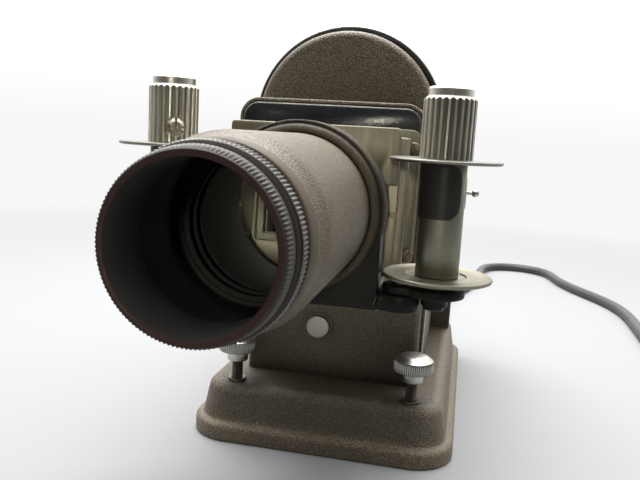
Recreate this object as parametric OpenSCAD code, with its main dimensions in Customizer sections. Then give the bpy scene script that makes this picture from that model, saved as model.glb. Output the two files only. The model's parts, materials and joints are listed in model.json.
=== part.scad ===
// Small 35 mm filmstrip projector: arched lamphouse on a stepped plinth, big stepped lens,
// two vertical film spools beside the gate, levelling screws, side switch and mains cord.
// X is to the right, Y to the back and Z up. The origin is on the table under the plinth's middle.

/* [Plinth] */
// Width of the plinth's foot
base_w = 115; // [110:1:124]
// Length of the plinth's foot
base_l = 172; // [166:1:190]
// Height of the plinth's flat top above the table
base_h = 24; // [22:0.5:30]
// Height of the foot's lip
lip_h = 7.6; // [6.6:0.1:9]
// Rounding of the lip's upper edge
lip_r = 2.4; // [1.5:0.1:3]
// Corner radius of the foot, seen from above
base_r = 18; // [14:1:22]
// Wall of the plinth casting
base_t = 3; // [2.5:0.1:4]
// Step from the foot in to the bottom of the riser
riser_in = 3.6; // [3:0.1:4.5]
// How far the riser leans in on its way up
riser_lean = 1.9; // [1:0.1:2.5]
// Radius of the riser's top edge
shoulder_r = 5; // [3:0.5:6]
// Gap between the plinth's rim and the table
foot_gap = 0.5; // [0.3:0.1:0.8]
// Thickness of the felt that the projector stands on
felt_t = 2.2; // [2:0.1:3]
// Thickness of the sheet that closes the plinth
bottom_t = 1.2; // [0.8:0.1:2]

/* [Levelling screws] */
// Distance from the plinth's side edge in to a levelling screw
level_side = 19; // [17:0.5:20]
// Distance from the plinth's front edge back to the screws
level_in = 13.7; // [12:0.1:18]
// Radius of the screw's thread
stud_r = 2.5; // [2:0.1:2.8]
// Play between the thread and its bush
stud_play = 0.05; // [0.02:0.01:0.09]
// Radius of the bush's visible ring
bush_r = 4; // [3.8:0.1:5]
// Travel of the levelling screw
level_travel = 8; // [5:0.5:9]
// Radius of the knurled head
knob_head_r = 8.4; // [7:0.1:10]
// Radius of the head's neck
neck_r = 4.5; // [4:0.1:5.5]
// Radius of the swivel pad under the screw
level_pad_r = 6; // [5:0.5:7]

/* [Lamphouse] */
// Radius of the arched front casting
arch_r = 39; // [37:0.5:42]
// Height of the arch's centre above the table
arch_z = 138.3; // [132:0.5:142]
// Distance from the plinth's front edge back to the front casting
house_in = 30; // [28:0.5:36]
// Depth of the front casting
cast_d = 6.5; // [5:0.5:8]
// Wall of the front casting
cast_t = 2.5; // [2:0.1:3]
// Rounding of the front casting's edge
cast_round = 3; // [1.5:0.5:4]
// Thickness of sheet metal
sheet_t = 1; // [0.8:0.1:1.5]
// How far the skin stands out past the casting
skin_out = 0.9; // [0.6:0.1:1.4]
// How far the rim stands out past the casting
rim_out = 1.5; // [1.2:0.1:2.2]
// Width of the rim along the body
rim_w = 2.5; // [2:0.1:4]
// Number of louvres over the arch
louvre_n = 8; // [4:1:9]
// Angle between neighbouring louvres
louvre_step = 16.2; // [15:0.1:17]
// Length of a louvre
louvre_l = 58; // [40:1:70]
// Width of a louvre
louvre_w = 2.6; // [2:0.1:3.2]
// Height of a louvre above the skin
louvre_h = 1.4; // [1:0.1:2]

/* [Rear housing] */
// Half width of the switch and wiring housing
rear_half_w = 50.5; // [48:0.5:52]
// Depth of the switch and wiring housing
rear_d = 27; // [24:1:28]
// Distance from the plinth's back edge forward to that housing's back
back_in = 9; // [8:1:20]
// Height of that housing's top above the table
rear_top_z = 118; // [116:1:126]
// Corner radius of that housing
rear_r = 4; // [3:0.5:4.5]
// Number of slots in the rear cover
vent_n = 7; // [3:1:9]

/* [Nose and gate] */
// Height of the light axis above the table
axis_z = 108.5; // [106:0.5:111]
// Depth of the nose in front of the lamphouse
nose_d = 30; // [27:0.5:32]
// Half width of the nose
nose_half_w = 37; // [36.4:0.1:38]
// Height from the light axis up to the nose's top
nose_up = 37.8; // [37:0.1:39]
// Height from the light axis down to the nose's bottom
nose_down = 34.5; // [32:0.5:36]
// Corner radius of the nose
nose_r = 8; // [6:0.5:10]
// Border of the nose left round its black face plate
face_border = 1.9; // [1:0.1:2.5]
// Thickness of the black face plate
face_t = 1.2; // [0.8:0.1:2]
// Half width of the gate's mounting flange
flange_half_w = 35.8; // [34:0.1:36]
// Height from the light axis up to the flange's top
flange_up = 28.1; // [27:0.1:30]
// Height from the light axis down to the flange's bottom
flange_down = 23.6; // [22.8:0.1:24]
// Thickness of the gate's plates
plate_t = 2; // [1.5:0.1:2.5]
// Distance from the face plate forward to the film
film_reach = 20.8; // [19:0.1:22]
// Width of the film
film_w = 35; // [34.5:0.1:35.5]
// Clear height above and below the film together
film_play = 1; // [0.6:0.1:1.4]
// Clear depth of the film channel
channel_d = 2; // [1.6:0.1:2.4]
// Half width of the rear gate plate
rear_plate_half_w = 33; // [32:0.1:34]
// Half width of the front gate plate
front_plate_half_w = 30.5; // [29.5:0.1:31.5]
// Width of the picture aperture
aperture_w = 36; // [30:0.5:38]
// Height of the picture aperture
aperture_h = 24; // [18:0.5:26]
// Thickness of the pressure plate
press_t = 1.6; // [1.2:0.1:2]
// Travel of the pressure plate towards the lens
press_travel = 1.2; // [0.8:0.1:1.4]
// Radius of a pressure plate guide pin
press_pin_r = 1.2; // [1:0.1:1.5]

/* [Lens] */
// Distance from the face plate forward to the front of the lens mount
mount_reach = 47.5; // [46:0.5:50]
// Thickness of the lens mount casting
mount_t = 10; // [8:0.5:11]
// Half width of the lens mount casting
mount_half_w = 28.2; // [27.4:0.1:28.4]
// Radius of the mount's round collar
collar_r = 29; // [28.2:0.1:31]
// Height from the light axis down to the mount's foot
mount_down = 31.5; // [30:0.5:33]
// Outer radius of the lens barrel
barrel_r = 24.6; // [23:0.1:25.4]
// Sliding play of the barrel in the mount
barrel_play = 0.08; // [0.03:0.01:0.1]
// Wall of the lens barrel
barrel_t = 1.6; // [1.2:0.1:2]
// Length of the barrel from its shoulder to its back end
barrel_l = 76.7; // [70:0.1:80]
// Length of the barrel's sloped shoulder
shoulder_l = 10.2; // [8:0.1:12]
// Room between the barrel and the gate when it is focused right in
barrel_clear = 2.5; // [0.8:0.1:4]
// Outer radius of the knurled front ring
ring_r = 20.9; // [19:0.1:22]
// Inner radius of the knurled front ring
ring_in_r = 18.8; // [17:0.1:19]
// Length of the knurled front ring
ring_l = 14.2; // [13.6:0.1:16]
// Radius of the lenses
cell_r = 21.6; // [19:0.1:21.8]
// Focus travel outwards
focus_out = 8; // [5:0.5:8]
// Focus travel inwards
focus_in = 6; // [1:0.5:6]

/* [Spools] */
// Distance from the middle plane to a spool's axis
spool_x = 46.5; // [46.5:0.1:49]
// Distance from the face plate forward to the spools' axes
spool_reach = 40.8; // [38:0.1:42]
// Radius of the upper and lower discs
disc_r = 18; // [16:0.1:18]
// Thickness of the upper disc
disc_t = 1.2; // [1:0.1:1.6]
// Thickness of the lower tray
tray_t = 1.5; // [1.2:0.1:2]
// Radius of the spool's core
core_r = 7.05; // [6:0.05:8]
// Radius of the spool's spindle
spindle_r = 3; // [2.5:0.1:3.4]
// Running play of the spindle
spindle_play = 0.05; // [0.02:0.01:0.09]
// Radius of the fluted knob
knob_r = 8.5; // [7.5:0.1:9.5]
// Height of the fluted part of the knob
knob_h = 19.4; // [16:0.1:22]
// Number of flutes on the knob
flute_n = 24; // [16:1:28]
// Radius of the knob's smooth cap
cap_r = 7.2; // [6:0.1:7.4]
// Height of the knob's smooth cap
cap_h = 2.9; // [2:0.1:4]
// Thickness of a spool arm
arm_t = 2.9; // [2.4:0.1:3.6]
// Radius of an arm's round end
arm_r = 9.6; // [8:0.1:11]

/* [Button and switch] */
// Distance of the push button to the left of the middle plane
button_x = 6.3; // [4:0.1:9]
// Height of the push button above the table
button_z = 47.3; // [44:0.5:52]
// Radius of the push button
button_r = 5.2; // [4.5:0.1:5.8]
// Travel of the push button
button_travel = 1.5; // [1:0.1:2]
// Height of the toggle switch above the table
switch_z = 103.6; // [98:0.5:104]
// Radius of the toggle switch's round plate
switch_plate_r = 10.2; // [9:0.1:11]
// Tilt of the toggle lever at rest
lever_tilt = 12; // [8:1:14]
// Radius of the ball on the toggle lever
ball_r = 2.35; // [2:0.05:2.8]

/* [Cord] */
// Diameter of the mains cord
cord_d = 8; // [7:0.1:8]
// Height of the cord's exit above the table
exit_z = 45; // [42:1:48]
// Distance of the cord's exit to the right of the middle plane
exit_x = 20; // [16:1:24]

/* [Hidden] */
$fn = 64;

// Small clearance between pieces that pass each other
gap = 0.3;
eps = 0.01;

// Places along Y, from the plinth's front edge to the lens
base_y0 = -base_l / 2;
level_x = base_w / 2 - level_side;
house_y = base_y0 + house_in;
rear_end = base_l / 2 - back_in;
house_end = rear_end - rear_d;
nose_y = house_y - nose_d;
face_y = nose_y - face_t;
film_y = face_y - film_reach;
rear_plate_y = film_y + channel_d / 2;
press_y = film_y - channel_d / 2;
front_plate_back = press_y - press_t - press_travel - gap;
front_plate_y = front_plate_back - plate_t;
mount_y = face_y - mount_reach;
spool_y = face_y - spool_reach;
level_y = base_y0 + level_in;

// Places along the lens
barrel_end = front_plate_y - focus_in - barrel_clear;
barrel_y0 = barrel_end - barrel_l;
ring_y0 = barrel_y0 - shoulder_l - ring_l;
collar_out = 3;
collar_round = 2;
collar_step = 1.5;
barrel_bore = barrel_r - barrel_t;
ring_band_r = ring_r + 1.6;
lip_r2 = ring_r + 1.5;

// Heights round the gate and spools
film_z0 = axis_z - (film_w + film_play) / 2;
film_z1 = axis_z + (film_w + film_play) / 2;
gate_z0 = axis_z - flange_down;
gate_z1 = axis_z + flange_up;
gate_mid = (gate_z0 + gate_z1) / 2;
gate_h = gate_z1 - gate_z0;
mount_z0 = axis_z - mount_down;
foot_t = 4;
shelf_z0 = mount_z0 + foot_t;
shelf_t = gate_z0 - 0.9 - shelf_z0;
lobe_x = spool_x - 11.5;
lobe_r = 6.8;
tray_z1 = film_z0 - 0.2;
tray_z0 = tray_z1 - tray_t;
hub_h = 2.9;
boss_h = 3.5;
boss_r = spool_x - lobe_x - lobe_r - gap;
arm_z1 = tray_z0 - hub_h;
arm_z0 = arm_z1 - arm_t;
disc_z0 = film_z1 - 0.2;
knob_z0 = disc_z0 + disc_t;
knob_z1 = knob_z0 + knob_h;
flute_r = 0.8;

// Small parts
screw_r = 1.5;
screw_head_r = 2.6;
screw_head_h = 1.7;
level_z1 = base_h + 1;
knob_head_z0 = level_z1 + level_travel;
neck_h = 3.4;
knurl_h = 5;
dome_h = 2.3;
pad_h = 3;
pad_z0 = 0.6;
bush_body_r = bush_r - 0.6;
bulb_in = 46;
bulb_y = house_y + bulb_in;
bulb_r = 12.7;
bulb_top = 10;
bulb_glass_l = 40;
bulb_cap_l = 12;
bulb_cap_r = 7.6;
socket_r = 11;
socket_l = 22;
reflector_back = 34;
reflector_y = bulb_y + reflector_back;
reflector_sphere = 34;
switch_y = rear_end - 13;
cell_back = 54;
cell_y0 = barrel_end - cell_back;
cell_l = 14;
coil_x = 240;
coil_y = 100;

// Sets of screw places: each is a point and the way its head looks
flange_screw_x = flange_half_w - screw_head_r;
tunnel_half_w = flange_screw_x - screw_head_r - gap;
gate_screws = [for (s = [-1, 1]) for (z = [gate_z0 + 4, gate_z1 - 7]) [s * flange_screw_x, z]];
rear_screw_x = rear_half_w - 6;
rear_screws = [for (s = [-1, 1]) for (z = [base_h + 7, rear_top_z - 8]) [s * rear_screw_x, z]];
bottom_screws = [for (s = [-1, 1]) for (t = [-1, 1]) [s * (base_w / 2 - 14), t * (base_l / 2 - 34)]];

// Rounded rectangle with true arcs at its corners, centred on the origin
module round_rect(w, d, r) {
  square([w - 2 * r, d], center = true);
  square([w, d - 2 * r], center = true);
  for (sx = [-1, 1]) for (sy = [-1, 1])
    translate([sx * (w / 2 - r), sy * (d / 2 - r)]) circle(r);
}

// Puts a flat XZ outline between two places along Y
module along_y(y0, y1) {
  translate([0, y1, 0]) rotate([90, 0, 0]) linear_extrude(y1 - y0) children();
}

// Round bar along Y through a point of the XZ plane
module bar_y(r, y0, y1, x = 0, z = 0) {
  translate([x, y1, z]) rotate([90, 0, 0]) cylinder(r = r, h = y1 - y0);
}

// Mailbox outline in the XZ plane, from a floor height up to a round top
module arch_outline(r, z0) {
  translate([0, arch_z]) circle(r, $fn = 96);
  translate([-r, z0]) square([2 * r, arch_z - z0]);
}

// Quarter of a circle as points, from one angle to another
function quarter(x, z, r, a0, a1) = [for (i = [0 : 6]) let (a = a0 + (a1 - a0) * i / 6)
  [x + r * cos(a), z + r * sin(a)]];

// The plinth's side in section: how far in from the foot's edge, and how high
fillet_r = 1.4;
riser_top = riser_in + riser_lean;
foot_side = concat([[0, foot_gap]], quarter(lip_r, lip_h - lip_r, lip_r, 180, 110),
  quarter(riser_in - fillet_r, lip_h + fillet_r, fillet_r, 280, 350),
  quarter(riser_top + shoulder_r, base_h - shoulder_r, shoulder_r, 176, 90));

// Slab with that side all round and rounded corners seen from above
module flared_slab(w, l, r) {
  top = foot_side[len(foot_side) - 1][1];
  for (sx = [-1, 1]) for (sy = [-1, 1]) translate([sx * (w / 2 - r), sy * (l / 2 - r), 0])
    rotate_extrude() polygon(concat([[0, foot_gap]], [for (q = foot_side) [r - q[0], q[1]]], [[0, top]]));
  rotate([90, 0, 0]) linear_extrude(l - 2 * r, center = true) flared_profile(w);
  rotate([90, 0, 90]) linear_extrude(w - 2 * r, center = true) flared_profile(l);
}

module flared_profile(w) polygon(concat([for (q = foot_side) [q[0] - w / 2, q[1]]],
  [for (i = [len(foot_side) - 1 : -1 : 0]) [w / 2 - foot_side[i][0], foot_side[i][1]]]));

// Flat slab that follows the plinth's outline, drawn in by a step
module inner_slab(z0, z1, inset) {
  translate([0, 0, z0]) linear_extrude(z1 - z0)
    round_rect(base_w - 2 * inset, base_l - 2 * inset, base_r - inset);
}

module base_plinth() color([0.36, 0.32, 0.26]) {
  difference() {
    flared_slab(base_w, base_l, base_r);
    inner_slab(foot_gap - 1, lip_h - base_t, base_t);
    inner_slab(foot_gap - 1, base_h - base_t, riser_top + base_t);
    for (s = [-1, 1]) translate([s * level_x, level_y, 0]) cylinder(r = bush_body_r, h = base_h + 1);
  }
  for (p = bottom_screws) translate([p[0], p[1], felt_t + bottom_t]) difference() {
    cylinder(r = 4, h = base_h - base_t / 2 - felt_t - bottom_t);
    translate([0, 0, -1]) cylinder(r = screw_r, h = 8);
  }
}

module under_holes() {
  for (s = [-1, 1]) translate([s * level_x, level_y, -1]) cylinder(r = level_pad_r + 1, h = 12);
  for (p = bottom_screws) translate([p[0], p[1], -1]) children();
}

module bottom_plate() color([0.25, 0.25, 0.24]) difference() {
  inner_slab(felt_t, felt_t + bottom_t, base_t + gap);
  under_holes() cylinder(r = screw_r, h = 12);
}

module base_felt() color([0.12, 0.13, 0.11]) difference() {
  inner_slab(0, felt_t, base_t + gap);
  under_holes() cylinder(r = screw_head_r + 0.5, h = 12);
}

// One panhead screw with its head on the origin plane, looking up
module pan_screw(l) {
  cylinder(r1 = screw_head_r, r2 = screw_head_r - 0.7, h = screw_head_h);
  translate([0, 0, -l]) cylinder(r = screw_r, h = l);
}

module case_screws() color([0.6, 0.6, 0.58]) {
  for (p = gate_screws) translate([p[0], face_y - plate_t, p[1]]) rotate([90, 0, 0]) pan_screw(4.5);
  for (p = rear_screws) translate([p[0], rear_end + sheet_t, p[1]]) rotate([-90, 0, 0]) pan_screw(5);
  for (p = bottom_screws) translate([p[0], p[1], felt_t]) rotate([180, 0, 0]) pan_screw(7);
  for (s = [-1, 1]) translate([s * lobe_x, spool_y, arm_z1]) pan_screw(7);
}

module levelling_bushes() color([0.12, 0.11, 0.1]) {
  for (s = [-1, 1]) translate([s * level_x, level_y, 0]) difference() {
    union() {
      translate([0, 0, base_h]) cylinder(r = bush_r, h = level_z1 - base_h);
      translate([0, 0, base_h - base_t - 4]) cylinder(r = bush_body_r, h = base_t + 4);
    }
    translate([0, 0, 1]) cylinder(r = stud_r + stud_play, h = base_h + 4);
  }
}

module levelling_stud(s) color([0.3, 0.29, 0.28]) translate([s * level_x, level_y, 0]) {
  translate([0, 0, pad_z0 + pad_h + 0.1]) cylinder(r = stud_r, h = knob_head_z0 - pad_z0 - pad_h + 5.9);
  translate([0, 0, pad_z0 + 1]) cylinder(r = 1.2, h = pad_h);
}
module levelling_stud_left() levelling_stud(-1);
module levelling_stud_right() levelling_stud(1);

module levelling_knob(s) color([0.78, 0.78, 0.76]) translate([s * level_x, level_y, knob_head_z0]) {
  difference() {
    union() {
      cylinder(r = neck_r, h = neck_h);
      translate([0, 0, neck_h - 0.1]) cylinder(r1 = neck_r, r2 = knob_head_r - 0.6, h = 1.2);
      translate([0, 0, neck_h + 1]) linear_extrude(knurl_h) polygon([for (i = [0 : 95])
        (knob_head_r - (i % 2) * 0.35) * [cos(i * 3.75), sin(i * 3.75)]]);
      translate([0, 0, neck_h + 1 + knurl_h - eps]) rotate_extrude() polygon([[0, 0], [knob_head_r - 0.5, 0],
        for (a = [0 : 15 : 90]) [(knob_head_r - 0.7) * cos(a * 0.62), dome_h * sin(a)], [0, dome_h]]);
    }
    translate([0, 0, -1]) cylinder(r = stud_r, h = 7);
  }
}
module levelling_knob_left() levelling_knob(-1);
module levelling_knob_right() levelling_knob(1);

module levelling_pad(s) color([0.12, 0.12, 0.12]) translate([s * level_x, level_y, pad_z0]) difference() {
  cylinder(r = level_pad_r, h = pad_h);
  translate([0, 0, 0.9]) cylinder(r = 1.25, h = pad_h);
}
module levelling_pad_left() levelling_pad(-1);
module levelling_pad_right() levelling_pad(1);

module front_casting() color([0.36, 0.32, 0.26]) difference() {
  union() {
    translate([0, house_y, arch_z]) rotate([-90, 0, 0]) rotate_extrude($fn = 96) {
      translate([0, cast_round]) square([arch_r, cast_d - cast_round]);
      square([arch_r - cast_round, cast_d]);
      translate([arch_r - cast_round, cast_round]) circle(cast_round, $fn = 48);
    }
    translate([0, house_y, base_h]) linear_extrude(arch_z - base_h) {
      translate([-arch_r, cast_round]) square([2 * arch_r, cast_d - cast_round]);
      translate([-arch_r + cast_round, 0]) square([2 * (arch_r - cast_round), cast_d]);
      for (s = [-1, 1]) translate([s * (arch_r - cast_round), cast_round]) circle(cast_round, $fn = 48);
    }
  }
  along_y(house_y + cast_t, house_y + cast_d + 1) arch_outline(arch_r - cast_t, base_h + cast_t);
  translate([-25, house_y - 1, axis_z - 25]) cube([50, cast_d + 2, 50]);
  bar_y(button_r + 0.7, house_y - 1, house_y + cast_t + 1, -button_x, button_z);
}

module lamphouse_rim() color([0.5, 0.5, 0.48])
  along_y(house_y + cast_d, house_y + cast_d + rim_w) difference() {
  arch_outline(arch_r + rim_out, base_h);
  arch_outline(arch_r - cast_t, base_h - 1);
}

module lamphouse_skin() color([0.42, 0.38, 0.31]) {
  y0 = house_y + cast_d + rim_w;
  skin_r = arch_r + skin_out;
  along_y(y0, house_end) difference() {
    arch_outline(skin_r, base_h);
    arch_outline(skin_r - sheet_t, base_h - 1);
  }
  difference() {
    for (i = [0 : louvre_n - 1]) louvre(i, louvre_w / 2, louvre_h, y0 + 5, louvre_l);
    bar_y(skin_r - sheet_t / 2, y0, house_end, 0, arch_z);
  }
}

// One long louvre on the arch, counted from the right
module louvre(i, half_w, h, y0, l) {
  a = 90 + (i - (louvre_n - 1) / 2) * louvre_step;
  translate([0, 0, arch_z]) rotate([0, -a, 0]) translate([arch_r + skin_out - 1, y0, -half_w])
    cube([h + 1, l, 2 * half_w]);
}

module lamphouse_back() color([0.36, 0.32, 0.26]) {
  skin_r = arch_r + skin_out - sheet_t - 0.05;
  difference() {
    along_y(house_end - sheet_t, house_end) arch_outline(skin_r, base_h);
    translate([-28, house_end - 3, base_h + 12]) cube([56, 6, 60]);
    for (i = [-2 : 2]) for (k = [0 : 2]) translate([i * 10, 0, arch_z + 8 + k * 6])
      along_y(house_end - 3, house_end + 3) round_rect(7, 2.4, 1.1);
  }
}

module rear_outline(inset) {
  translate([0, (base_h + rear_top_z) / 2])
    round_rect(2 * (rear_half_w - inset), rear_top_z - base_h - 2 * inset, rear_r - inset);
  translate([-rear_half_w + inset, base_h + inset]) square([2 * (rear_half_w - inset), rear_r]);
}

module rear_housing() color([0.36, 0.32, 0.26]) {
  difference() {
    along_y(house_end, rear_end) rear_outline(0);
    along_y(house_end + 1.5, rear_end + 1) rear_outline(1.5);
    translate([-28, house_end - 1, base_h + 12]) cube([56, 4, 60]);
    translate([rear_half_w - 3, switch_y, switch_z]) rotate([0, 90, 0]) cylinder(r = 6.1, h = 6);
  }
  for (p = rear_screws) difference() {
    intersection() {
      bar_y(5, rear_end - 5.5, rear_end, p[0], p[1]);
      along_y(rear_end - 6, rear_end + 1) rear_outline(0.5);
    }
    bar_y(screw_r, rear_end - 5, rear_end + 1, p[0], p[1]);
  }
}

module rear_cover() color([0.36, 0.32, 0.26]) difference() {
  along_y(rear_end, rear_end + sheet_t) rear_outline(0.2);
  for (p = rear_screws) bar_y(screw_r + 0.1, rear_end - 1, rear_end + 3, p[0], p[1]);
  for (i = [0 : vent_n - 1]) translate([0, 0, axis_z - 14 + (i - vent_n / 2) * 6])
    along_y(rear_end - 1, rear_end + 3) round_rect(46, 2.6, 1.2);
  bar_y(cord_d / 2 + 1, rear_end - 1, rear_end + 3, exit_x, exit_z);
}

module nose_outline(inset) {
  translate([0, axis_z + (nose_up - nose_down) / 2])
    round_rect(2 * (nose_half_w - inset), nose_up + nose_down - 2 * inset, nose_r - inset);
}

module nose_housing() color([0.36, 0.32, 0.26]) difference() {
  along_y(nose_y, house_y) nose_outline(0);
  along_y(nose_y - 1, house_y + 1) nose_outline(1.6);
}

module face_plate() color([0.06, 0.06, 0.07]) difference() {
  along_y(face_y, nose_y) nose_outline(face_border);
  translate([-aperture_w / 2 - 4, face_y - 1, axis_z - aperture_h / 2 - 4])
    cube([aperture_w + 8, face_t + 2, aperture_h + 8]);
  for (p = gate_screws) bar_y(screw_r + 0.05, face_y - 1, nose_y + 1, p[0], p[1]);
}

module gate_housing() color([0.66, 0.62, 0.5]) difference() {
  union() {
    translate([0, 0, gate_mid]) along_y(face_y - plate_t, face_y) round_rect(2 * flange_half_w, gate_h, 4);
    translate([-tunnel_half_w, rear_plate_y + plate_t, gate_z0 + 1.5])
      cube([2 * tunnel_half_w, film_reach - channel_d / 2 - plate_t - eps, gate_h - 4.5]);
  }
  translate([-aperture_w / 2 - 3, rear_plate_y, axis_z - aperture_h / 2 - 3])
    cube([aperture_w + 6, film_reach + 2, aperture_h + 6]);
  for (p = gate_screws) bar_y(screw_r + 0.1, face_y - plate_t - 1, face_y + 1, p[0], p[1]);
}

module rear_gate_plate() color([0.7, 0.67, 0.56]) {
  difference() {
    translate([-rear_plate_half_w, rear_plate_y, gate_z0])
      cube([2 * rear_plate_half_w, plate_t, gate_h - 3.3]);
    translate([-aperture_w / 2, rear_plate_y - 1, axis_z - aperture_h / 2])
      cube([aperture_w, plate_t + 2, aperture_h]);
  }
  for (z = [[gate_z0, film_z0 - gate_z0], [film_z1, 6.2]])
    translate([-front_plate_half_w + 1, front_plate_back, z[0]])
      cube([2 * front_plate_half_w - 2, rear_plate_y - front_plate_back + eps, z[1]]);
}

notch_w = 6;
notch_z0 = axis_z - 2.7;
notch_z1 = axis_z + 8.5;
press_half_w = front_plate_half_w - 0.2;
press_h = 33;
press_ear_w = 3.3;
slot_w = 1;
slot_h = 1.6;
press_pins = [for (s = [-1, 1]) for (t = [-1, 1])
  [s * (aperture_w / 2 + 4.5), axis_z + t * (press_h / 2 - 3.5)]];

module front_gate_plate() color([0.7, 0.67, 0.56]) difference() {
  translate([0, 0, gate_mid]) along_y(front_plate_y, front_plate_back)
    round_rect(2 * front_plate_half_w, gate_h, 1.5);
  translate([-aperture_w / 2 - 2, front_plate_y - 1, axis_z - aperture_h / 2 - 2])
    cube([aperture_w + 4, plate_t + 2, aperture_h + 4]);
  for (p = press_pins) bar_y(press_pin_r + 0.05, front_plate_y - 1, front_plate_back + 1, p[0], p[1]);
  for (s = [-1, 1]) translate([s * (front_plate_half_w + 0.5) - notch_w, front_plate_y - 1, notch_z0])
    cube([2 * notch_w, plate_t + 2, notch_z1 - notch_z0]);
}

module pressure_plate() color([0.74, 0.74, 0.7]) {
  difference() {
    union() {
      press_main = press_half_w - press_ear_w - slot_w;
      translate([-press_main, press_y - press_t, axis_z - press_h / 2])
        cube([2 * press_main, press_t, press_h]);
      translate([-press_half_w, press_y - press_t, notch_z1 + 0.5])
        cube([2 * press_half_w, press_t, slot_h]);
      for (s = [-1, 1]) translate([s * (press_half_w - press_ear_w / 2), press_y - press_t / 2, notch_z1])
        translate([-press_ear_w / 2, -press_t / 2, notch_z0 + slot_h - notch_z1])
          cube([press_ear_w, press_t, notch_z1 - notch_z0 + 0.5]);
    }
    translate([-aperture_w / 2, press_y - press_t - 1, axis_z - aperture_h / 2])
      cube([aperture_w, press_t + 2, aperture_h]);
  }
  for (p = press_pins) bar_y(press_pin_r, front_plate_y - 0.6, press_y - press_t + eps, p[0], p[1]);
}

shelf_half_w = mount_half_w - 1.2;
module support_shelf() color([0.66, 0.62, 0.5]) difference() {
  union() {
    translate([-shelf_half_w, mount_y + mount_t, shelf_z0])
      cube([2 * shelf_half_w, face_y - mount_y - mount_t, shelf_t]);
    translate([-shelf_half_w, face_y - 2, mount_z0 + 0.5])
      cube([2 * shelf_half_w, 2, shelf_z0 - mount_z0 + shelf_t - 0.5]);
  }
  bar_y(barrel_r + gap, mount_y + mount_t - 1, front_plate_y, 0, axis_z);
}

module lens_mount() color([0.1, 0.1, 0.1]) {
  difference() {
    union() {
      translate([0, mount_y - collar_out, axis_z]) rotate([-90, 0, 0]) rotate_extrude($fn = 96)
        polygon(concat([[0, 0]],
          quarter(collar_r - collar_step - collar_round, collar_round, collar_round, -90, 0),
          [[collar_r - collar_step, collar_out], [collar_r, collar_out],
          [collar_r, mount_t + collar_out], [0, mount_t + collar_out]]));
      translate([-mount_half_w, mount_y, mount_z0]) cube([2 * mount_half_w, mount_t, mount_down]);
    }
    bar_y(barrel_r + barrel_play, mount_y - collar_out - 1, mount_y + mount_t + 1, 0, axis_z);
  }
  translate([-mount_half_w, mount_y, mount_z0]) cube([2 * mount_half_w, spool_y - mount_y + 12, foot_t]);
  for (s = [-1, 1]) difference() {
    union() {
      translate([s * lobe_x, spool_y, mount_z0]) cylinder(r = lobe_r, h = arm_z0 - mount_z0);
      translate([s * (lobe_x + shelf_half_w + gap) / 2, spool_y, (mount_z0 + arm_z0 - 0.8) / 2])
        cube([lobe_x - shelf_half_w - gap, 2 * lobe_r - 2, arm_z0 - mount_z0 - 0.8], center = true);
    }
    translate([s * lobe_x, spool_y, mount_z0 - 1]) cylinder(r = screw_r, h = 20);
  }
}

module lens_barrel() color([0.5, 0.46, 0.39]) {
  lip_y = barrel_y0 - shoulder_l;
  translate([0, 0, axis_z]) rotate([-90, 0, 0]) rotate_extrude($fn = 96) polygon([
    [ring_in_r + 0.2, lip_y], [lip_r2, lip_y], [lip_r2 + 0.3, lip_y + 0.6], [lip_r2 + 0.5, lip_y + 4.6],
    [barrel_r - 0.5, barrel_y0 - 1.2], [barrel_r, barrel_y0], [barrel_r, barrel_end],
    [barrel_bore, barrel_end], [barrel_bore, barrel_y0 - 4], [ring_in_r + 0.2, barrel_y0 - 8]]);
}

module lens_ring() color([0.15, 0.14, 0.14]) translate([0, 0, axis_z]) rotate([-90, 0, 0])
  rotate_extrude($fn = 96) polygon([[ring_in_r, ring_y0], [ring_r - 0.4, ring_y0], [ring_r, ring_y0 + 0.4],
    [ring_r + 0.6, ring_y0 + 4.4], [ring_r - 0.3, ring_y0 + 5], [ring_r - 0.3, ring_y0 + 6.6],
    [ring_band_r, ring_y0 + 7.2], [ring_band_r, ring_y0 + 12], [ring_r + 0.5, ring_y0 + 12.6],
    [ring_r + 0.5, ring_y0 + ring_l], [ring_in_r, ring_y0 + ring_l]]);

module lens_cell() color([0.08, 0.08, 0.08]) difference() {
  bar_y(barrel_bore, cell_y0, cell_y0 + cell_l, 0, axis_z);
  bar_y(cell_r, cell_y0 - 1, cell_y0 + cell_l + 1, 0, axis_z);
}

// Lens of two spherical faces, its rim between two places along Y
function cap_arc(r, bulge, a0, a1) = let (k = (r * r + bulge * bulge) / (2 * bulge), m = asin(r / k))
  [for (i = [0 : 6]) let (a = a0 + (a1 - a0) * i / 6) [k * sin(a * m), bulge - k + k * cos(a * m)]];
module glass(r, y0, y1, bulge0, bulge1) translate([0, 0, axis_z]) rotate([-90, 0, 0]) rotate_extrude()
  polygon(concat([for (q = cap_arc(r, bulge0, 0, 1)) [q[0], y0 - q[1]]],
    [for (q = cap_arc(r, bulge1, 1, 0)) [q[0], y1 + q[1]]]));
module lens_front_element() color([0.8, 0.85, 0.9, 0.4]) glass(cell_r, cell_y0 + 3, cell_y0 + 4.5, 1.2, 0.6);
module lens_rear_element() color([0.8, 0.85, 0.9, 0.4]) glass(cell_r, cell_y0 + 8, cell_y0 + 9.5, 0.6, 1.2);

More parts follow.
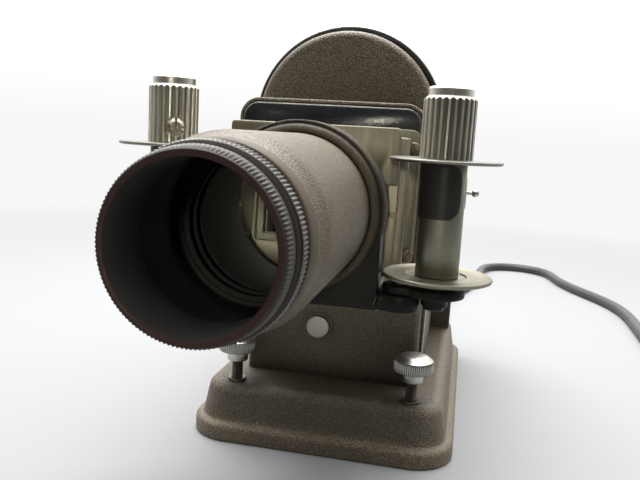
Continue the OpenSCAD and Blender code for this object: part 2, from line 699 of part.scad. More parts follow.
module spool_arm(s) color([0.1, 0.1, 0.1]) difference() {
  union() {
    translate([0, 0, arm_z0]) linear_extrude(arm_t) {
      translate([s * spool_x, spool_y]) circle(arm_r);
      translate([s * lobe_x, spool_y]) circle(lobe_r - 1);
      translate([s * (spool_x + lobe_x) / 2, spool_y])
        square([spool_x - lobe_x, 2 * lobe_r - 2.2], center = true);
    }
    translate([s * spool_x, spool_y, arm_z0 - boss_h]) cylinder(r = boss_r, h = boss_h + eps);
  }
  translate([s * spool_x, spool_y, 0]) cylinder(r = spindle_r + spindle_play, h = 200);
  translate([s * lobe_x, spool_y, 0]) cylinder(r = screw_r + 0.05, h = 200);
}
module spool_arm_left() spool_arm(-1);
module spool_arm_right() spool_arm(1);

recess_r = core_r + 2.4;
module spool_tray(s) color([0.66, 0.63, 0.54]) translate([s * spool_x, spool_y, 0]) difference() {
  union() {
    translate([0, 0, tray_z0]) cylinder(r = disc_r, h = tray_t);
    translate([0, 0, arm_z1]) cylinder(r = 6.4, h = hub_h + eps);
  }
  translate([0, 0, tray_z1 - 0.8]) cylinder(r = recess_r, h = 3);
  cylinder(r = spindle_r + spindle_play, h = 200);
}
module spool_tray_left() spool_tray(-1);
module spool_tray_right() spool_tray(1);

module spool_core(s) color([0.6, 0.58, 0.52]) translate([s * spool_x, spool_y, 0]) {
  translate([0, 0, tray_z1 - 0.6]) cylinder(r = core_r, h = disc_z0 - tray_z1 + 0.6);
  translate([0, 0, arm_z0 - boss_h - 1.2]) cylinder(r = spindle_r, h = knob_z0 - arm_z0 + boss_h + 5.2);
  translate([0, 0, arm_z0 - boss_h - 1.2]) cylinder(r = boss_r - 1, h = 1);
}
module spool_core_left() spool_core(-1);
module spool_core_right() spool_core(1);

clip_h = 17.6;
clip_gap_turn = -10;
clip_gap_half = 6.9;
module film_clip(s) color([0.08, 0.08, 0.08])
  translate([s * spool_x, spool_y, disc_z0 - clip_h]) difference() {
  cylinder(r = core_r + 0.55, h = clip_h - 0.3);
  translate([0, 0, -1]) cylinder(r = core_r, h = clip_h + 2);
  rotate([0, 0, clip_gap_turn]) translate([0, 0, -1])
    linear_extrude(clip_h + 2) polygon([[0, 0], [12, -clip_gap_half], [12, clip_gap_half]]);
}
module film_clip_left() film_clip(-1);
module film_clip_right() film_clip(1);

module spool_disc(s) color([0.72, 0.72, 0.68]) translate([s * spool_x, spool_y, disc_z0]) difference() {
  cylinder(r = disc_r, h = disc_t);
  translate([0, 0, -1]) cylinder(r = spindle_r, h = 4);
}
module spool_disc_left() spool_disc(-1);
module spool_disc_right() spool_disc(1);

// Where a knob's set screw sits: its height and its direction seen from above
knob_screw_z = knob_z0 + 5.4;
knob_screw_a = -60.5;
module spool_knob(s) color([0.6, 0.58, 0.52]) translate([s * spool_x, spool_y, 0]) difference() {
  union() {
    translate([0, 0, knob_z0]) cylinder(r = knob_r - 0.1, h = knob_h - 1);
    translate([0, 0, knob_z1 - 1]) cylinder(r1 = knob_r - 0.1, r2 = cap_r, h = 1);
    translate([0, 0, knob_z1 - eps]) cylinder(r = cap_r, h = cap_h - 0.6);
    translate([0, 0, knob_z1 + cap_h - 0.6 - eps]) cylinder(r1 = cap_r, r2 = cap_r - 0.6, h = 0.6);
  }
  for (i = [0 : flute_n - 1]) rotate([0, 0, (i + 0.5) * 360 / flute_n]) translate([knob_r, 0, knob_z0 - 1])
    cylinder(r = flute_r, h = knob_h + 0.6, $fn = 16);
  translate([0, 0, knob_z0 - 1]) cylinder(r = spindle_r, h = 6);
  rotate([0, 0, knob_screw_a]) translate([knob_r - 1.6, 0, knob_screw_z])
    rotate([0, 90, 0]) cylinder(r = 3.4, h = 5);
  rotate([0, 0, knob_screw_a]) translate([2, 0, knob_screw_z]) rotate([0, 90, 0]) cylinder(r = 1.5, h = 6);
}
module spool_knob_left() spool_knob(-1);
module spool_knob_right() rotate_about(1, 150) spool_knob(1);

// Turns what belongs to one spool about that spool's axis
module rotate_about(s, a) {
  translate([s * spool_x, spool_y, 0]) rotate([0, 0, a]) translate([-s * spool_x, -spool_y, 0]) children();
}

module knob_screw(s) color([0.62, 0.6, 0.56]) translate([s * spool_x, spool_y, knob_screw_z])
  rotate([0, 0, knob_screw_a]) rotate([0, 90, 0]) difference() {
    union() {
      translate([0, 0, 3.2]) cylinder(r = 1.5, h = knob_r - 4);
      translate([0, 0, knob_r - 1.6]) cylinder(r = 2.9, h = 0.9);
      translate([0, 0, knob_r - 0.7 - eps]) cylinder(r1 = 2.9, r2 = 1.7, h = 1);
    }
    translate([-4, -0.35, knob_r - 0.8]) cube([8, 0.7, 3]);
  }
module knob_screw_left() knob_screw(-1);
module knob_screw_right() rotate_about(1, 150) knob_screw(1);

module push_button() color([0.75, 0.75, 0.75]) {
  bar_y(button_r, house_y - 2.2, house_y + cast_t + 0.3, -button_x, button_z);
  bar_y(button_r + 1.2, house_y + cast_t + 0.3 - eps, house_y + cast_t + 1.3, -button_x, button_z);
  bar_y(2, house_y + cast_t + 1.3 - eps, house_y + cast_t + 9, -button_x, button_z);
}

module button_bezel() color([0.1, 0.1, 0.1]) difference() {
  union() {
    bar_y(button_r + 1.4, house_y - 0.7, house_y, -button_x, button_z);
    bar_y(button_r + 0.7, house_y - eps, house_y + cast_t, -button_x, button_z);
  }
  bar_y(button_r + 0.08, house_y - 2, house_y + cast_t + 1, -button_x, button_z);
}

module button_switch() color([0.2, 0.15, 0.1]) difference() {
  translate([-button_x - 11, house_y + cast_t, button_z - 9]) cube([22, 16, 18]);
  bar_y(button_r + 1.6, house_y, house_y + cast_t + 1.6 + button_travel, -button_x, button_z);
  bar_y(2.08, house_y, house_y + cast_t + 11 + button_travel, -button_x, button_z);
}

// The toggle turns on a ball inside a threaded bush that comes through the housing's wall
pivot_r = 3.3;
pivot_pin_r = 1;
pivot_pin_l = pivot_r + 0.9;
module switch_body() color([0.2, 0.15, 0.1]) difference() {
  union() {
    translate([rear_half_w - 20, switch_y - 7, switch_z - 10]) cube([20 - 1.5, 14, 20]);
    translate([rear_half_w - 2, switch_y, switch_z]) rotate([0, 90, 0]) cylinder(r = 6, h = 4.5);
  }
  translate([rear_half_w - 3.5, switch_y, switch_z]) rotate([0, 90, 0]) cylinder(r = pivot_r + 0.08, h = 8);
  translate([rear_half_w, switch_y, switch_z])
    cylinder(r = pivot_pin_r + 0.05, h = 2 * pivot_pin_l + 0.3, center = true);
}

switch_plate_t = 3.6;
module switch_plate() color([0.55, 0.48, 0.36]) difference() {
  translate([rear_half_w, switch_y, switch_z]) rotate([0, 90, 0]) rotate_extrude() polygon([[0, 0],
    [switch_plate_r, 0], [switch_plate_r, switch_plate_t - 1.4], [switch_plate_r - 0.5, switch_plate_t - 0.4],
    [switch_plate_r - 1.4, switch_plate_t], [0, switch_plate_t]]);
  translate([rear_half_w - 1, switch_y, switch_z]) rotate([0, 90, 0]) cylinder(r = 6, h = 3.5);
  translate([rear_half_w, switch_y, switch_z]) rotate([0, 90, 0]) cylinder(r = pivot_r + 0.08, h = 6);
}

module switch_lever() color([0.8, 0.8, 0.8]) translate([rear_half_w, switch_y, switch_z])
  rotate([0, 0, lever_tilt]) {
    cylinder(r = pivot_pin_r, h = 2 * pivot_pin_l, center = true);
    rotate([0, 90, 0]) {
      sphere(pivot_r);
      cylinder(r1 = 1.5, r2 = 1, h = 7.5);
      translate([0, 0, 8.8]) sphere(ball_r);
    }
  }

module condenser_holder() color([0.2, 0.2, 0.2]) difference() {
  union() {
    bar_y(24, nose_y, house_y, 0, axis_z);
    along_y(nose_y, nose_y + 2) nose_outline(1.7);
  }
  bar_y(21.5, nose_y - 1, house_y + 1, 0, axis_z);
  for (p = gate_screws) bar_y(screw_r, nose_y - 1, nose_y + 3, p[0], p[1]);
}

module condenser_lenses() color([0.8, 0.85, 0.9, 0.4]) {
  glass(21.5, nose_y + 6, nose_y + 8, 1, 5);
  glass(21.5, house_y - 8, house_y - 6, 5, 1);
}

module reflector() color([0.8, 0.8, 0.8]) {
  difference() {
    intersection() {
      translate([0, reflector_y - reflector_sphere, axis_z]) sphere(reflector_sphere);
      bar_y(22, reflector_y - 12, reflector_y + 1, 0, axis_z);
    }
    translate([0, reflector_y - reflector_sphere, axis_z]) sphere(reflector_sphere - 1.2);
  }
  translate([-3, reflector_y - 2, base_h + 3]) cube([6, 1.4, axis_z - base_h - 11]);
  translate([-6, reflector_y - 8, base_h]) cube([12, 10, 3 + eps]);
}

bulb_z0 = axis_z + bulb_top - bulb_glass_l;
module lamp_bulb() color([0.9, 0.92, 0.95, 0.4]) {
  translate([0, bulb_y, bulb_z0]) cylinder(r = bulb_r, h = bulb_glass_l);
  translate([0, bulb_y, axis_z + bulb_top]) sphere(bulb_r);
  translate([0, bulb_y, bulb_z0 - bulb_cap_l]) cylinder(r = bulb_cap_r, h = bulb_cap_l + eps);
}

socket_z0 = bulb_z0 - bulb_cap_l - 14;
module lamp_socket() color([0.35, 0.3, 0.2]) translate([0, bulb_y, socket_z0]) difference() {
  cylinder(r = socket_r, h = socket_l);
  translate([0, 0, 14 - eps]) cylinder(r = bulb_cap_r + 0.02, h = 12);
}

module socket_bracket() color([0.6, 0.6, 0.58]) {
  translate([-13, bulb_y - 12, socket_z0 - 2]) cube([26, 24, 2]);
  for (s = [-1, 1]) translate([s * 12 - 1, bulb_y - 12, base_h]) cube([2, 24, socket_z0 - 2 - base_h + eps]);
}

relief_l = 32;
module strain_relief() color([0.08, 0.08, 0.08]) translate([exit_x, rear_end, exit_z]) rotate([-90, 0, 0]) {
  translate([0, 0, -3]) cylinder(r = cord_d / 2 + 3.5, h = 3);
  translate([0, 0, -3]) cylinder(r = cord_d / 2 + 1, h = 6);
  translate([0, 0, sheet_t]) cylinder(r = cord_d / 2 + 3.5, h = 3);
  translate([0, 0, sheet_t + 3 - eps])
    cylinder(r1 = cord_d / 2 + 3, r2 = cord_d / 2 + 0.6, h = relief_l - sheet_t - 3 + eps);
}

// The cord's free route: straight out of the relief, down to the table and round to the coil
cord_z = cord_d / 2 + 0.05;
coil_pitch = cord_d + 1.8;
coil_rise = cord_d + 0.8;
coil_in = 35;
coil_turns = 2;
coil_out = coil_in + coil_turns * coil_pitch;
route = [
  [exit_x, rear_end + relief_l + 3, exit_z], [exit_x, 126, exit_z - 0.5], [21, 143, 41], [23.5, 160, 33],
  [28, 178, 22], [35, 198, 11], [44, 221, 5], [53, 246, cord_z], [60, 270, cord_z], [66, 294, cord_z],
  [71, 318, cord_z], [74, 341, cord_z], [75.5, 364, cord_z], [80, 382, cord_z], [93, 395, cord_z],
  [111, 400, cord_z], [129, 395, cord_z], [142, 382, cord_z], [146.5, 364, cord_z],
  [149, 343, cord_z], [155, 322, cord_z], [163, 302, cord_z], [173, 281, cord_z], [182, 258, cord_z],
  [187, 234, cord_z], [188, 208, cord_z], [186, 165, cord_z],
  [coil_x - coil_out, coil_y + 34, cord_z], [coil_x - coil_out, coil_y + cord_d + 4, cord_z]];

// A smooth curve that a list of points draws, with a number of steps in each stretch
function spline_at(p0, p1, p2, p3, t) = ((1 - t) * (1 - t) * (1 - t) * p0
  + (3 * t * t * t - 6 * t * t + 4) * p1
  + (3 * t * t + 3 * t + 1 - 3 * t * t * t) * p2 + t * t * t * p3) / 6;
function smooth(p, n) = let (last = len(p) - 1,
  q = concat([2 * p[0] - p[1]], p, [2 * p[last] - p[last - 1]]))
  concat([for (i = [0 : last - 1]) for (k = [0 : n - 1])
    spline_at(q[i], q[i + 1], q[i + 2], q[i + 3], k / n)], [p[last]]);
function unit(v) = v / norm(v);
function tangent(p, i) = unit(p[min(i + 1, len(p) - 1)] - p[max(i - 1, 0)]);

// A tube of a number of flat sides swept along points, with flat ends
module tube(p, r, sides) {
  rings = [for (i = [0 : len(p) - 1])
    let (t = tangent(p, i), u = unit(cross([0, 0, 1], t)), v = cross(t, u))
    for (k = [0 : sides - 1])
      p[i] + r * (cos((k + 0.5) * 360 / sides) * u + sin((k + 0.5) * 360 / sides) * v)];
  last = len(p) - 1;
  walls = [for (i = [0 : last - 1]) for (k = [0 : sides - 1])
    let (a = i * sides + k, b = i * sides + (k + 1) % sides)
    each [[a, b, b + sides], [a, b + sides, a + sides]]];
  caps = [for (k = [1 : sides - 2])
    each [[0, k + 1, k], [last * sides, last * sides + k, last * sides + k + 1]]];
  polyhedron([for (q = rings) q], concat(walls, caps));
}

cord_sides = 8;
cord_points = concat([[exit_x, rear_end + relief_l, exit_z]], smooth(route, 2),
  [[coil_x - coil_out, coil_y + cord_d, cord_z]]);
module power_cord() color([0.35, 0.36, 0.35]) tube(cord_points, cord_d / 2, cord_sides);

// The coil winds in on the table, climbs in the half turn at its inside and winds out on top
coil_rings = 24;
tail_l = 46;
function coil_ring(i) =
  let (n = coil_turns * coil_rings, half = coil_rings / 2, a = 180 + i * 360 / coil_rings,
    s = i < n ? 0 : i > n + half ? 1 : (i - n) / half,
    r = i < n ? coil_out - coil_pitch * i / coil_rings
      : i > n + half ? coil_in + coil_pitch * (i - n - half) / coil_rings : coil_in)
  [coil_x + r * cos(a), coil_y + r * sin(a), cord_z + coil_rise * s * s * (3 - 2 * s)];
coil_last = 2 * coil_turns * coil_rings + coil_rings / 2;
coil_points = concat(
  [[coil_x - coil_out, coil_y + cord_d, cord_z]],
  [for (i = [0 : coil_last]) coil_ring(i)],
  [[coil_x + coil_out, coil_y + cord_d, cord_z + coil_rise],
   [coil_x + coil_out, coil_y + tail_l, cord_z + coil_rise]]);
module cord_coil() color([0.35, 0.36, 0.35]) tube(coil_points, cord_d / 2, 6);

// Least gap of the coil's tube to itself, past the stretch that is simply its own next ring
self_gap = min([for (i = [0 : 2 : len(coil_points) - 1]) for (k = [i + 8 : len(coil_points) - 1])
  norm(coil_points[i] - coil_points[k])]) - cord_d;
route_l = [for (i = 0, l = 0; i < len(cord_points); i = i + 1,
  l = l + (i < len(cord_points) ? norm(cord_points[i] - cord_points[i - 1]) : 0)) l];
coil_l = [for (i = 0, l = 0; i < len(coil_points); i = i + 1,
  l = l + (i < len(coil_points) ? norm(coil_points[i] - coil_points[i - 1]) : 0)) l];
echo("cord coil: least gap to itself", self_gap,
  "mm; free cord", max(route_l), "mm; coil", max(coil_l), "mm");

plug_r = cord_z + coil_rise;
module plug() color([0.12, 0.1, 0.09])
  translate([coil_x + coil_out, coil_y + tail_l, plug_r]) rotate([-90, 0, 0]) {
  cylinder(r1 = cord_d / 2 + 1.5, r2 = cord_d / 2 + 3, h = 10);
  translate([0, 0, 10 - eps]) cylinder(r1 = 9, r2 = plug_r, h = 8);
  translate([0, 0, 18 - 2 * eps]) cylinder(r = plug_r, h = 16);
  for (s = [-1, 1]) translate([s * 6.35 - 0.75, -3.2, 34 - 3 * eps]) cube([1.5, 6.4, 17]);
}

base_plinth();
bottom_plate();
base_felt();
case_screws();
levelling_bushes();
levelling_stud_left();
levelling_stud_right();
levelling_knob_left();
levelling_knob_right();
levelling_pad_left();
levelling_pad_right();
front_casting();
lamphouse_rim();
lamphouse_skin();
lamphouse_back();
rear_housing();
rear_cover();
nose_housing();
face_plate();
gate_housing();
rear_gate_plate();
front_gate_plate();
pressure_plate();
support_shelf();
lens_mount();
lens_barrel();
lens_ring();
lens_cell();
lens_front_element();
lens_rear_element();
spool_arm_left();
spool_arm_right();
spool_tray_left();
spool_tray_right();
spool_core_left();
spool_core_right();
film_clip_left();
film_clip_right();
spool_disc_left();
spool_disc_right();
spool_knob_left();
spool_knob_right();
knob_screw_left();
knob_screw_right();
push_button();
button_bezel();
button_switch();
switch_body();
switch_plate();
switch_lever();
condenser_holder();
condenser_lenses();
reflector();
lamp_bulb();
lamp_socket();
socket_bracket();
strain_relief();
power_cord();
cord_coil();
plug();
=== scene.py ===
import json
import math

import bmesh
import bpy
from mathutils import Matrix, Vector


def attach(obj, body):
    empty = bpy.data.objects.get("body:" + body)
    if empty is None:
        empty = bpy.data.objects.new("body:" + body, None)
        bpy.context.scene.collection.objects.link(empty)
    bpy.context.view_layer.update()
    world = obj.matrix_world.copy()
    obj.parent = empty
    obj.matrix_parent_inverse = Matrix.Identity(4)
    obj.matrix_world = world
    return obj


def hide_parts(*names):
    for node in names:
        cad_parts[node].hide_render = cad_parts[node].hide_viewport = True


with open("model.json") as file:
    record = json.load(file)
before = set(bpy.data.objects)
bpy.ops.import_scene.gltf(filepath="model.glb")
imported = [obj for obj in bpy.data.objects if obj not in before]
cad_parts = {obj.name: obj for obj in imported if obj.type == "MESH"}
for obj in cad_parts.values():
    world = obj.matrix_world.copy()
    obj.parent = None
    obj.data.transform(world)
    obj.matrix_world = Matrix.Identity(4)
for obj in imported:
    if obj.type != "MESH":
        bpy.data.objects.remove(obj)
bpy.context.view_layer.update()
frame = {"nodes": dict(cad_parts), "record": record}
nodes = frame["nodes"]
scene = bpy.context.scene
print("frame loaded:", len(nodes), "nodes")

# The places that everything else is set out from, in metres, as the model has them.
places = {"axis": 0.1085, "spools": (0.0465, -0.128), "levels": (0.0385, -0.0723)}


def addObject(name, data):
    thing = bpy.data.objects.new(name, data)
    scene.collection.objects.link(thing)
    return thing


# The camera as it stood for the photo, fitted with the object's own edges.
cameraView = {"place": (0.05354, -0.35114, 0.13304), "turn": 11.7456, "dip": 8.7449, "roll": 3.2435, "lens": 38.5875}


def placeCamera(view):
    turn, dip, roll = (math.radians(view[k]) for k in ("turn", "dip", "roll"))
    ahead = Vector((-math.sin(turn) * math.cos(dip), math.cos(turn) * math.cos(dip), -math.sin(dip)))
    right = ahead.cross(Vector((0, 0, 1))).normalized()
    up = right.cross(ahead)
    across = math.cos(roll) * right + math.sin(roll) * up
    upward = math.cos(roll) * up - math.sin(roll) * right
    data = bpy.data.cameras.new("photoCamera")
    data.sensor_width = 36
    data.lens = view["lens"]
    data.clip_start = 0.01
    camera = addObject("photoCamera", data)
    spin = Matrix((across, upward, -ahead)).transposed()
    camera.matrix_world = Matrix.Translation(Vector(view["place"])) @ spin.to_4x4()
    scene.camera = camera


placeCamera(cameraView)


# The mains cord: its seen stretch follows the photo, the rest and the coil are chosen. A point of its route
# without a height lies on the floor. Route and floor are in millimetres.
cordPlan = {"thickness": 0.008, "exit": (0.020, 0.109, 0.045), "coilCentre": (0.240, 0.100), "turns": 2,
            "innerRadius": 0.035, "step": 0.0098, "rise": 0.0088, "tail": 0.046, "lift": 0.00005, "smooth": 5,
            "floor": 4.05}
cordRoute = [
    (20, 112, 45), (20, 126, 44.5), (21, 143, 41), (23.5, 160, 33), (28, 178, 22), (35, 198, 11), (44, 221, 5),
    (53, 246), (60, 270), (66, 294), (71, 318), (74, 341), (75.5, 364), (80, 382), (93, 395), (111, 400), (129, 395),
    (142, 382), (146.5, 364), (149, 343), (155, 322), (163, 302), (173, 281), (182, 258), (187, 234), (188, 208),
    (186, 165), (185.4, 134), (185.4, 112)]


def smoothLine(points, count):
    # a curve that leans on its points, so its bends stay even
    ends = [2 * points[0] - points[1]] + points + [2 * points[-1] - points[-2]]
    line = []
    for a, b, c, d in zip(ends, ends[1:], ends[2:], ends[3:]):
        for k in range(count):
            t = k / count
            line.append(((1 - t) ** 3 * a + (3 * t ** 3 - 6 * t * t + 4) * b
                         + (1 + 3 * t + 3 * t * t - 3 * t ** 3) * c + t ** 3 * d) / 6)
    return line + [points[-1]]


def coilLine(plan, count=48):
    cx, cy = plan["coilCentre"]
    low = plan["thickness"] / 2 + plan["lift"]
    outer = plan["innerRadius"] + plan["turns"] * plan["step"]
    down, half = plan["turns"] * count, count // 2
    line = []
    for i in range(2 * down + half + 1):
        turn = math.pi + 2 * math.pi * i / count
        climb = min(max((i - down) / half, 0), 1)
        if i < down:
            radius = outer - plan["step"] * i / count
        else:
            radius = plan["innerRadius"] + plan["step"] * max(i - down - half, 0) / count
        line.append(Vector((cx + radius * math.cos(turn), cy + radius * math.sin(turn),
                            low + plan["rise"] * climb * climb * (3 - 2 * climb))))
    line.append(Vector((cx + outer, cy + plan["thickness"], low + plan["rise"])))
    line.append(Vector((cx + outer, cy + plan["tail"], low + plan["rise"])))
    return line


def layCord(plan, route):
    stops = [Vector(p if len(p) == 3 else (*p, plan["floor"])) / 1000 for p in route]
    line = [Vector(plan["exit"])] + smoothLine(stops, plan["smooth"])
    line += coilLine(plan)
    data = bpy.data.curves.new("mainsCord", "CURVE")
    data.dimensions = "3D"
    data.bevel_depth = 1.0  # the points' own radius gives the thickness
    data.bevel_resolution = 5
    data.use_fill_caps = True
    spline = data.splines.new("POLY")
    spline.points.add(len(line) - 1)
    for point, place in zip(spline.points, line):
        point.co = (*place, 1)
        point.radius = plan["thickness"] / 2
    spline.use_smooth = True
    return addObject("mainsCord", data), sum((b - a).length for a, b in zip(line, line[1:]))


mainsCord, cordLength = layCord(cordPlan, cordRoute)
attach(mainsCord, "base")
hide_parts("power_cord", "cord_coil")
print("cord laid:", round(cordLength, 3), "m")


# Tools for shader trees.
def put(tree, value, socket):
    # another socket is linked, a plain value is set
    if isinstance(value, bpy.types.NodeSocket):
        tree.links.new(value, socket)
    else:
        socket.default_value = value


def addNode(tree, kind, settings=None, **values):
    node = tree.nodes.new(kind)
    for name, value in (settings or {}).items():
        setattr(node, name, value)
    for name, value in values.items():
        put(tree, value, node.inputs[name.replace("_", " ")])
    return node


def maths(tree, operation, *values, kind="ShaderNodeMath", result="Value"):
    node = addNode(tree, kind, {"operation": operation})
    for value, socket in zip(values, node.inputs):
        put(tree, value, socket)
    return node.outputs[result]


def times(tree, first, second):
    return maths(tree, "MULTIPLY", first, second)


def vectorMaths(tree, operation, *values):
    result = "Vector" if operation == "NORMALIZE" else "Value"
    return maths(tree, operation, *values, kind="ShaderNodeVectorMath", result=result)


def remap(tree, value, low, high, outLow=0.0, outHigh=1.0):
    node = addNode(tree, "ShaderNodeMapRange", Value=value, From_Min=low, From_Max=high, To_Min=outLow,
                   To_Max=outHigh)
    return node.outputs["Result"]


def blendColour(tree, factor, first, second):
    node = addNode(tree, "ShaderNodeMix", {"data_type": "RGBA"})
    for index, value in ((0, factor), (6, first), (7, second)):
        put(tree, (*value, 1.0) if isinstance(value, tuple) else value, node.inputs[index])
    return node.outputs[2]


def noiseAt(tree, vector, scale, detail=2.0, roughness=0.5):
    node = addNode(tree, "ShaderNodeTexNoise", Vector=vector, Scale=scale, Detail=detail, Roughness=roughness)
    return node.outputs["Fac"]


def heightOf(tree, vector):
    return addNode(tree, "ShaderNodeSeparateXYZ", Vector=vector).outputs[2]


def radiusOf(tree, vector):
    x, y, z = addNode(tree, "ShaderNodeSeparateXYZ", Vector=vector).outputs
    return maths(tree, "SQRT", maths(tree, "ADD", times(tree, x, x), times(tree, y, y))), z


def newGroup(name, outputs, **inputs):
    # each group takes a vector and some plain values
    group = bpy.data.node_groups.new(name, "ShaderNodeTree")
    group.interface.new_socket("Vector", in_out="INPUT", socket_type="NodeSocketVector")
    for label, value in inputs.items():
        group.interface.new_socket(label, in_out="INPUT", socket_type="NodeSocketFloat").default_value = value
    for label in outputs.split():
        kind = "NodeSocketVector" if label == "Round" else "NodeSocketFloat"
        group.interface.new_socket(label, in_out="OUTPUT", socket_type=kind)
    return group, group.nodes.new("NodeGroupInput").outputs, group.nodes.new("NodeGroupOutput").inputs


# The groups that the finishes share, with the values that shape them.
groupPlan = {
    "crinkle": {"soft": 0.5, "bead": 0.75, "share": 0.6, "valley": (0.78, 0.42)},
    "edge": {"flat": 0.985, "sharp": 0.86, "detail": 4.0, "rough": 0.65, "kept": 0.9, "fade": 0.35},
    "handling": {"patch": (0.35, 0.68), "finer": 14.0},
    "turned": {"detail": 3.0, "rough": 0.6},
    "groove": {"inside": 0.0004},
    "brushed": {"stretch": (1.0, 1.0, 0.03)},
    "paintedShade": {"scale": 60.0, "uneven": 0.1, "open": 0.79, "shut": 0.38},
}


def crinkleGroup(plan):
    # wrinkle enamel: fine beads that run together, with dark valleys between them
    group, given, result = newGroup("crinkleEnamel", "Height Valley", Scale=2000.0)
    cells = addNode(group, "ShaderNodeTexVoronoi", {"feature": "SMOOTH_F1"}, Smoothness=plan["soft"],
                    Vector=given["Vector"], Scale=given["Scale"])
    bead = remap(group, cells.outputs["Distance"], 0.0, plan["bead"], 1.0, 0.0)
    wobble = noiseAt(group, given["Vector"], given["Scale"])
    height = maths(group, "ADD", times(group, bead, plan["share"]), times(group, wobble, plan["share"]))
    put(group, height, result["Height"])
    put(group, remap(group, height, *plan["valley"]), result["Valley"])
    return group


def edgeGroup(plan):
    # paint and plate rub off where two faces meet
    group, given, result = newGroup("edgeWear", "Mask Round", Radius=0.0006, Patches=160.0, Amount=0.6)
    rounded = addNode(group, "ShaderNodeBevel", {"samples": 4}, Radius=given["Radius"]).outputs["Normal"]
    put(group, rounded, result["Round"])
    plain = group.nodes.new("ShaderNodeNewGeometry").outputs["Normal"]
    edge = remap(group, vectorMaths(group, "DOT_PRODUCT", rounded, plain), plan["flat"], plan["sharp"])
    patch = noiseAt(group, given["Vector"], given["Patches"], plan["detail"], plan["rough"])
    kept = maths(group, "ADD", maths(group, "SUBTRACT", patch, plan["kept"]), given["Amount"])
    put(group, times(group, edge, remap(group, kept, 0.0, plan["fade"])), result["Mask"])
    return group


def handlingGroup(plan):
    # broad, soft patches of grease and dust
    group, given, result = newGroup("handling", "Patch Fine", Scale=40.0)
    broad = noiseAt(group, given["Vector"], given["Scale"], 3.0, 0.6)
    put(group, remap(group, broad, *plan["patch"]), result["Patch"])
    finer = times(group, given["Scale"], plan["finer"])
    put(group, noiseAt(group, given["Vector"], finer, 4.0, 0.7), result["Fine"])
    return group


def turnedGroup(plan):
    # fine rings left by the lathe, round the Z of the vector that comes in
    group, given, result = newGroup("turnedRings", "Rings", Pitch=2600.0)
    radius, height = radiusOf(group, given["Vector"])
    ring = addNode(group, "ShaderNodeCombineXYZ", X=radius, Y=height).outputs[0]
    put(group, noiseAt(group, ring, given["Pitch"], plan["detail"], plan["rough"]), result["Rings"])
    return group


def grooveGroup(plan):
    # dirt and dark plate in knurls and flutes, between an inner and an outer radius round Z
    group, given, result = newGroup("grooveDirt", "Mask", Inner=0.008, Outer=0.0085, Low=-1.0, High=1.0)
    radius, height = radiusOf(group, given["Vector"])
    depth = remap(group, radius, given["Outer"], given["Inner"])
    band = times(group, maths(group, "GREATER_THAN", height, given["Low"]),
                 maths(group, "LESS_THAN", height, given["High"]))
    outside = maths(group, "GREATER_THAN", radius, maths(group, "SUBTRACT", given["Inner"], plan["inside"]))
    put(group, times(group, depth, times(group, band, outside)), result["Mask"])
    return group


def brushedGroup(plan):
    # rolled sheet: long thin streaks along the Z of the vector that comes in
    group, given, result = newGroup("brushedSheet", "Streaks", Scale=900.0)
    squeezed = addNode(group, "ShaderNodeMapping", Vector=given["Vector"], Scale=plan["stretch"]).outputs["Vector"]
    put(group, noiseAt(group, squeezed, given["Scale"], 4.0, 0.65), result["Streaks"])
    return group


def paintedShadeGroup(plan):
    # painted shade: the colour darkens in corners and under overhangs, where ambient occlusion finds them
    group, given, result = newGroup("paintedShadeMask", "Mask", Reach=0.07)
    occluded = addNode(group, "ShaderNodeAmbientOcclusion", {"samples": 6}, Distance=given["Reach"]).outputs["AO"]
    patch = noiseAt(group, given["Vector"], plan["scale"], 3.0)
    uneven = maths(group, "ADD", occluded, times(group, maths(group, "SUBTRACT", patch, 0.5), plan["uneven"]))
    put(group, remap(group, uneven, plan["open"], plan["shut"]), result["Mask"])
    return group


groupMakers = {"crinkle": crinkleGroup, "edge": edgeGroup, "handling": handlingGroup, "turned": turnedGroup,
               "groove": grooveGroup, "brushed": brushedGroup, "paintedShade": paintedShadeGroup}
groups = {key: make(groupPlan[key]) for key, make in groupMakers.items()}
print("shader groups built:", len(groups))


# Finishes: each table holds the values of one kind, and each kind has one function.
class Finish:
    def __init__(self, name, roughness, metallic=0.0, specular=0.5, centre=None, turn=(0, 0, 0)):
        self.material = bpy.data.materials.new(name)
        self.material.use_nodes = True
        self.tree = self.material.node_tree
        self.shader = self.tree.nodes["Principled BSDF"]
        self.shader.inputs["Roughness"].default_value = roughness
        self.shader.inputs["Metallic"].default_value = metallic
        self.shader.inputs["Specular IOR Level"].default_value = specular
        self.vector = self.tree.nodes.new("ShaderNodeTexCoord").outputs["Object"]
        if centre is not None:
            place = addNode(self.tree, "ShaderNodeMapping", {"vector_type": "TEXTURE"}, Vector=self.vector,
                            Location=centre, Rotation=turn)
            self.vector = place.outputs["Vector"]

    def use(self, key, **values):
        node = addNode(self.tree, "ShaderNodeGroup", {"node_tree": groups[key]}, Vector=self.vector, **values)
        return node.outputs

    def feed(self, value, name):
        put(self.tree, value, self.shader.inputs[name])

    def dusted(self, kind, base, dust, share=None):
        patch = self.use("handling", Scale=kind["patches"])
        share = kind["dusty"] if share is None else share
        return patch, blendColour(self.tree, times(self.tree, patch["Patch"], share), base, dust)

    def unevenGloss(self, kind, value, middle):
        less, more = kind["spread"]
        return remap(self.tree, value, *kind.get("ends", fineEnds), middle - less, middle + more)

    def done(self, body, rough, height, depth, edge=None):
        self.feed(body, "Base Color")
        self.feed(rough, "Roughness")
        node = addNode(self.tree, "ShaderNodeBump", Distance=depth, Height=height)
        if edge is not None:
            self.tree.links.new(edge["Round"], node.inputs["Normal"])
        self.feed(node.outputs["Normal"], "Normal")
        return self.material


